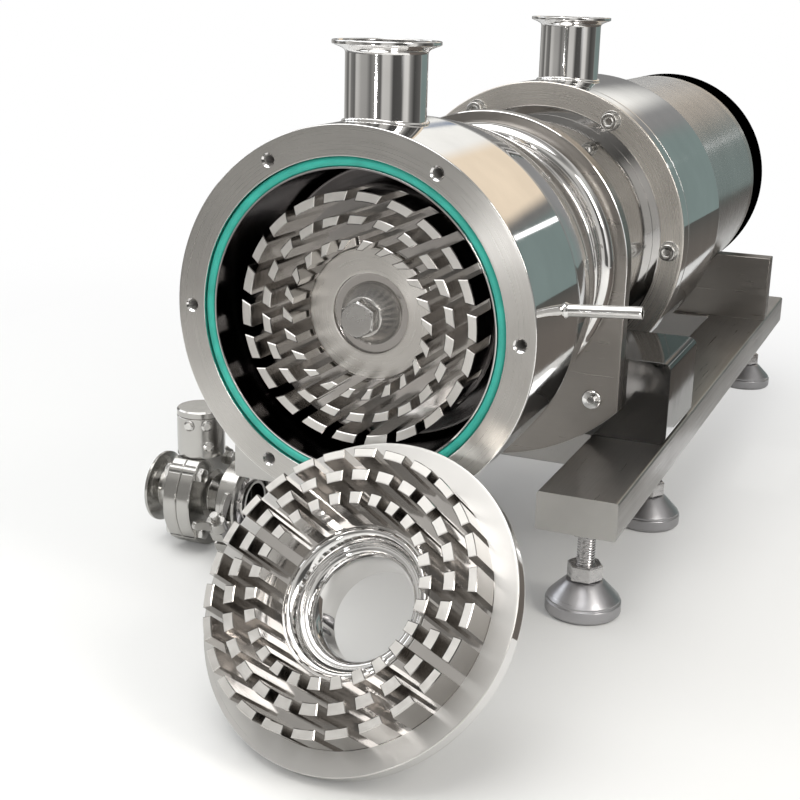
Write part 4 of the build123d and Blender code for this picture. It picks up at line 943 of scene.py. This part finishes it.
rotor_rows = [(12.6, 26.4, 0.2), (recess_inner, 26.4, 0.4), (recess_inner, recess_face, 0.4),
              (recess_outer, recess_face, 0.6), (recess_outer, rotor_root, 0.6),
              (rotor_outer, rotor_root, 0.5), (rotor_outer, rotor_back, 1.0), (22, rotor_back, 1.5),
              (22, 50, 0.5), (12.6, 50, 0.3)]
hub_steel = steel("hub_steel", (0.72, 0.695, 0.66), 0.30, 0.05, anisotropy=0.6, streaks=(2.5, 2.4),
                  bump=0.003)


def rotor_finish_and_pocket_shade(centre, normal):
    """1 outside the hub's face and in its pocket, where the darker steel is painted shade in the groove,
    and 0 on the face.
    """
    radius = np.hypot(centre[:, 0], centre[:, 2])
    # The pocket's darker steel is painted shade in the groove round the cone.
    return (radius > 32.2) | ((radius < 19.5) & (centre[:, 1] > 24.7))


lathe("rotor_disc", "rotor", rotor_rows, [hub_steel, flank_steel], rotor_finish_and_pocket_shade, body="rotating_set",
      slot="satin_steel", segments=240)

# Rotor washer and bolt: a turned cone with a notch for its tab, and a hexagon bolt with a washer face.
cone_steel = steel("cone_steel", (0.68, 0.66, 0.63), 0.22, 0.05, anisotropy=0.7, streaks=(2.5, 3.0),
                   bump=0.004, shine=0.75)
cone_rows = [(5.1, 26.3, 0.2), (15.1, 26.3, 0.3), (15.1, 24.8, 0.4), (9.5, 15.5, 0.8), (5.1, 15.5, 0.3)]
tab_notch = ((0, 24.5, -17.5), (0, -0.35, 1), 1.3, 5.5)
lathe("rotor_cone", "rotor_washer", cone_rows, [cone_steel], holes=[tab_notch], body="rotating_set",
      segments=144)
low, high = span("rotor_bolt")
head_corner = (high[2] - low[2]) / np.sqrt(3)
bolt_rows = [(0, 15.45, 0, 0), (7.8, 15.45, 0.1, 0), (7.8, 14.9, 0.1, 0), (head_corner, 14.8, 0.15, 1),
             (head_corner, low[1] + 1.0, 0.25, 1), (head_corner - 1.4, low[1] + 0.02, 0.3, 0.25),
             (0, low[1] + 0.02, 0, 0)]
bolt_place = axes((0, 0, 0), (0, 0, 1), (1, 0, 0), (0, 1, 0))
bolt_steel = steel("bolt_steel", (0.50, 0.49, 0.475), 0.26, 0.06, grain=(150, 150, 150), bump=0.006)
lathe("rotor_hex", "rotor_bolt", bolt_rows, [bolt_steel], body="rotating_set", smooth=24,
      place=bolt_place, segments=144, swell=hexagonal(head_corner))

# Stator: a round plate with three rings of 26 teeth, milled by radial slots, a polished lip and
# throat in the middle, and a register ring behind. It stands on the floor in front of the chamber.
inlet = next(m for m in frame["record"]["mounts"] if m["name"] == "stator_inlet")
face_normal = -np.array(inlet["axis"], float)
throat_depth = 27.9
face_centre = np.array(inlet["pos_m"], float) * 1000 + throat_depth * face_normal
face_right = np.cross((0, 0, 1), face_normal)
face_right = face_right / np.linalg.norm(face_right)
stator_place = axes(face_centre, face_right, np.cross(face_normal, face_right), face_normal)
stator_rings = [(38.5, 44.0), (49.5, 54.6), (60.4, 64.5)]
stator_slots, stator_slot, stator_tip = 26, 4.6, 19.5
stator_first = radians(4.0) - np.pi / stator_slots
stator_grids = []
for inner, outer in stator_rings:
    stator_grids += tooth_ring(inner, outer, -0.4, stator_tip, stator_slots, stator_slot, 0.0,
                               stator_first, stator_place)
stator_teeth = surface("stator_teeth", stator_grids, smooth=20, merge=2e-6)


def above_face(centre):
    """Height over the stator's face, towards the teeth's tips."""
    return (centre - face_centre) @ face_normal


fit(stator_teeth, [flank_steel, tip_steel], "stator", "stator",
    lambda c, n: above_face(c) > stator_tip - 0.1)
lip_turn = np.linspace(0, 1, 15)
lip_radius = 34.3 - 5.6 * lip_turn ** 1.4
lip_height = 1.1 * np.sin(np.clip(lip_turn * 2.4, 0, np.pi / 2)) - 5.2 * lip_turn ** 3
throat_turn = np.linspace(0, 1, 13)
throat_radius = 27.2 - 4.2 * np.sin(throat_turn * np.pi / 2)
throat_height = -6.2 - 9.3 * (1 - np.cos(throat_turn * np.pi / 2))
stator_rows = [(75.6, 0, 0.6), (64.7, 0), (35.1, 0, 0.2), (35.1, -0.8), (34.4, -0.8),
               *[(r, h) for r, h in zip(lip_radius, lip_height)], (28.7, -5.2, 0.2),
               (28.0, -5.2, 0.2), (28.0, -6.2, 0.1),
               *[(r, h) for r, h in zip(throat_radius, throat_height)], (23, -28, 0.5), (27, -28, 0.5),
               (27, -12, 1), (40, -12, 1), (40, -20, 0.5), (46, -20, 0.5), (46, -8, 1), (75.6, -8, 0.8)]
annulus_steel = steel("annulus_steel", (0.55, 0.53, 0.51), 0.09, 0.04, anisotropy=0.3, streaks=(2, 1.6),
                      bump=0.003)


def stator_finish(centre, normal):
    """1 on the rim outside the teeth, 2 between and under them, and 0 elsewhere."""
    height = above_face(centre)
    radius = np.sqrt(np.maximum(((centre - face_centre) ** 2).sum(1) - height ** 2, 0))
    rim = (radius > 64.6) & (height > -0.7)
    annulus = (radius > 34.8) & (radius <= 64.6) & (height > -0.7)
    return np.where(rim, 1, np.where(annulus, 2, 0))


rim_steel = steel("rim_steel", (0.64, 0.625, 0.60), 0.32, 0.05, anisotropy=0.7, streaks=(2.5, 2.0),
                  bump=0.004, shine=0.7)
lathe("stator_plate", "stator", stator_rows, [mirror_steel, rim_steel, annulus_steel], stator_finish,
      body="stator", slot="satin_steel", place=stator_place)

# Butterfly valve: two investment-cast halves with clamp ferrules, bolted over a rubber seat; the hub on
# top turns the disc, and its lever points to the back. All of it is polished stainless.
cast_steel = steel("cast_steel", (0.50, 0.49, 0.47), 0.20, 0.07, grain=(120, 120, 120), bump=0.006)
valve_pieces = [
    ("valve_left", "valve_left_half", "valve", cast_steel, 0.35),
    ("valve_right", "valve_right_half", "valve", cast_steel, 0.35),
    ("valve_gasket", "valve_seat", "valve", black_plastic, 0),
    ("valve_blade", "valve_disc", "valve_spindle", mirror_steel, 0),
    ("hub", "valve_hub", "valve_spindle", cast_steel, 0.3),
    ("hub_buttons", "hub_screws", "valve_spindle", screw_steel, 0.2),
    ("lever", "valve_lever", "valve_spindle", mirror_steel, 0),
    ("valve_screws", "valve_bolts", "valve", screw_steel, 0.2),
    ("clamp", "clamp_ring", "valve", cast_steel, 0.3),
    ("stub", "hose_stub", "valve", mirror_steel, 0.2),
    ("wing", "wing_nut", "wing_nut", cast_steel, 0.3),
]
for name, node, body, material, bevel in valve_pieces:
    from_cad(name, node, [material], body, bevel=bevel)

# Everything inside that the other pieces hide: shaft, key, seal, bearings and the motor's cores.
inner_finish = {
    "drive_shaft": mirror_steel, "rotor_key": ground_steel, "seal_bellows": black_plastic,
    "seal_ring": black_plastic, "seal_seat": black_plastic, "bearing_outer_rings": screw_steel,
    "bearing_inner_rings": screw_steel,
    "motor_wound_core": steel("varnished_core", (0.34, 0.20, 0.10), 0.45, 0.1),
    "motor_rotor_core": steel("laminations", (0.28, 0.27, 0.26), 0.4, 0.1, grain=(40, 2000, 40)),
}
for node, material in inner_finish.items():
    for material_slot in frame["nodes"][node].material_slots:
        material_slot.material = material
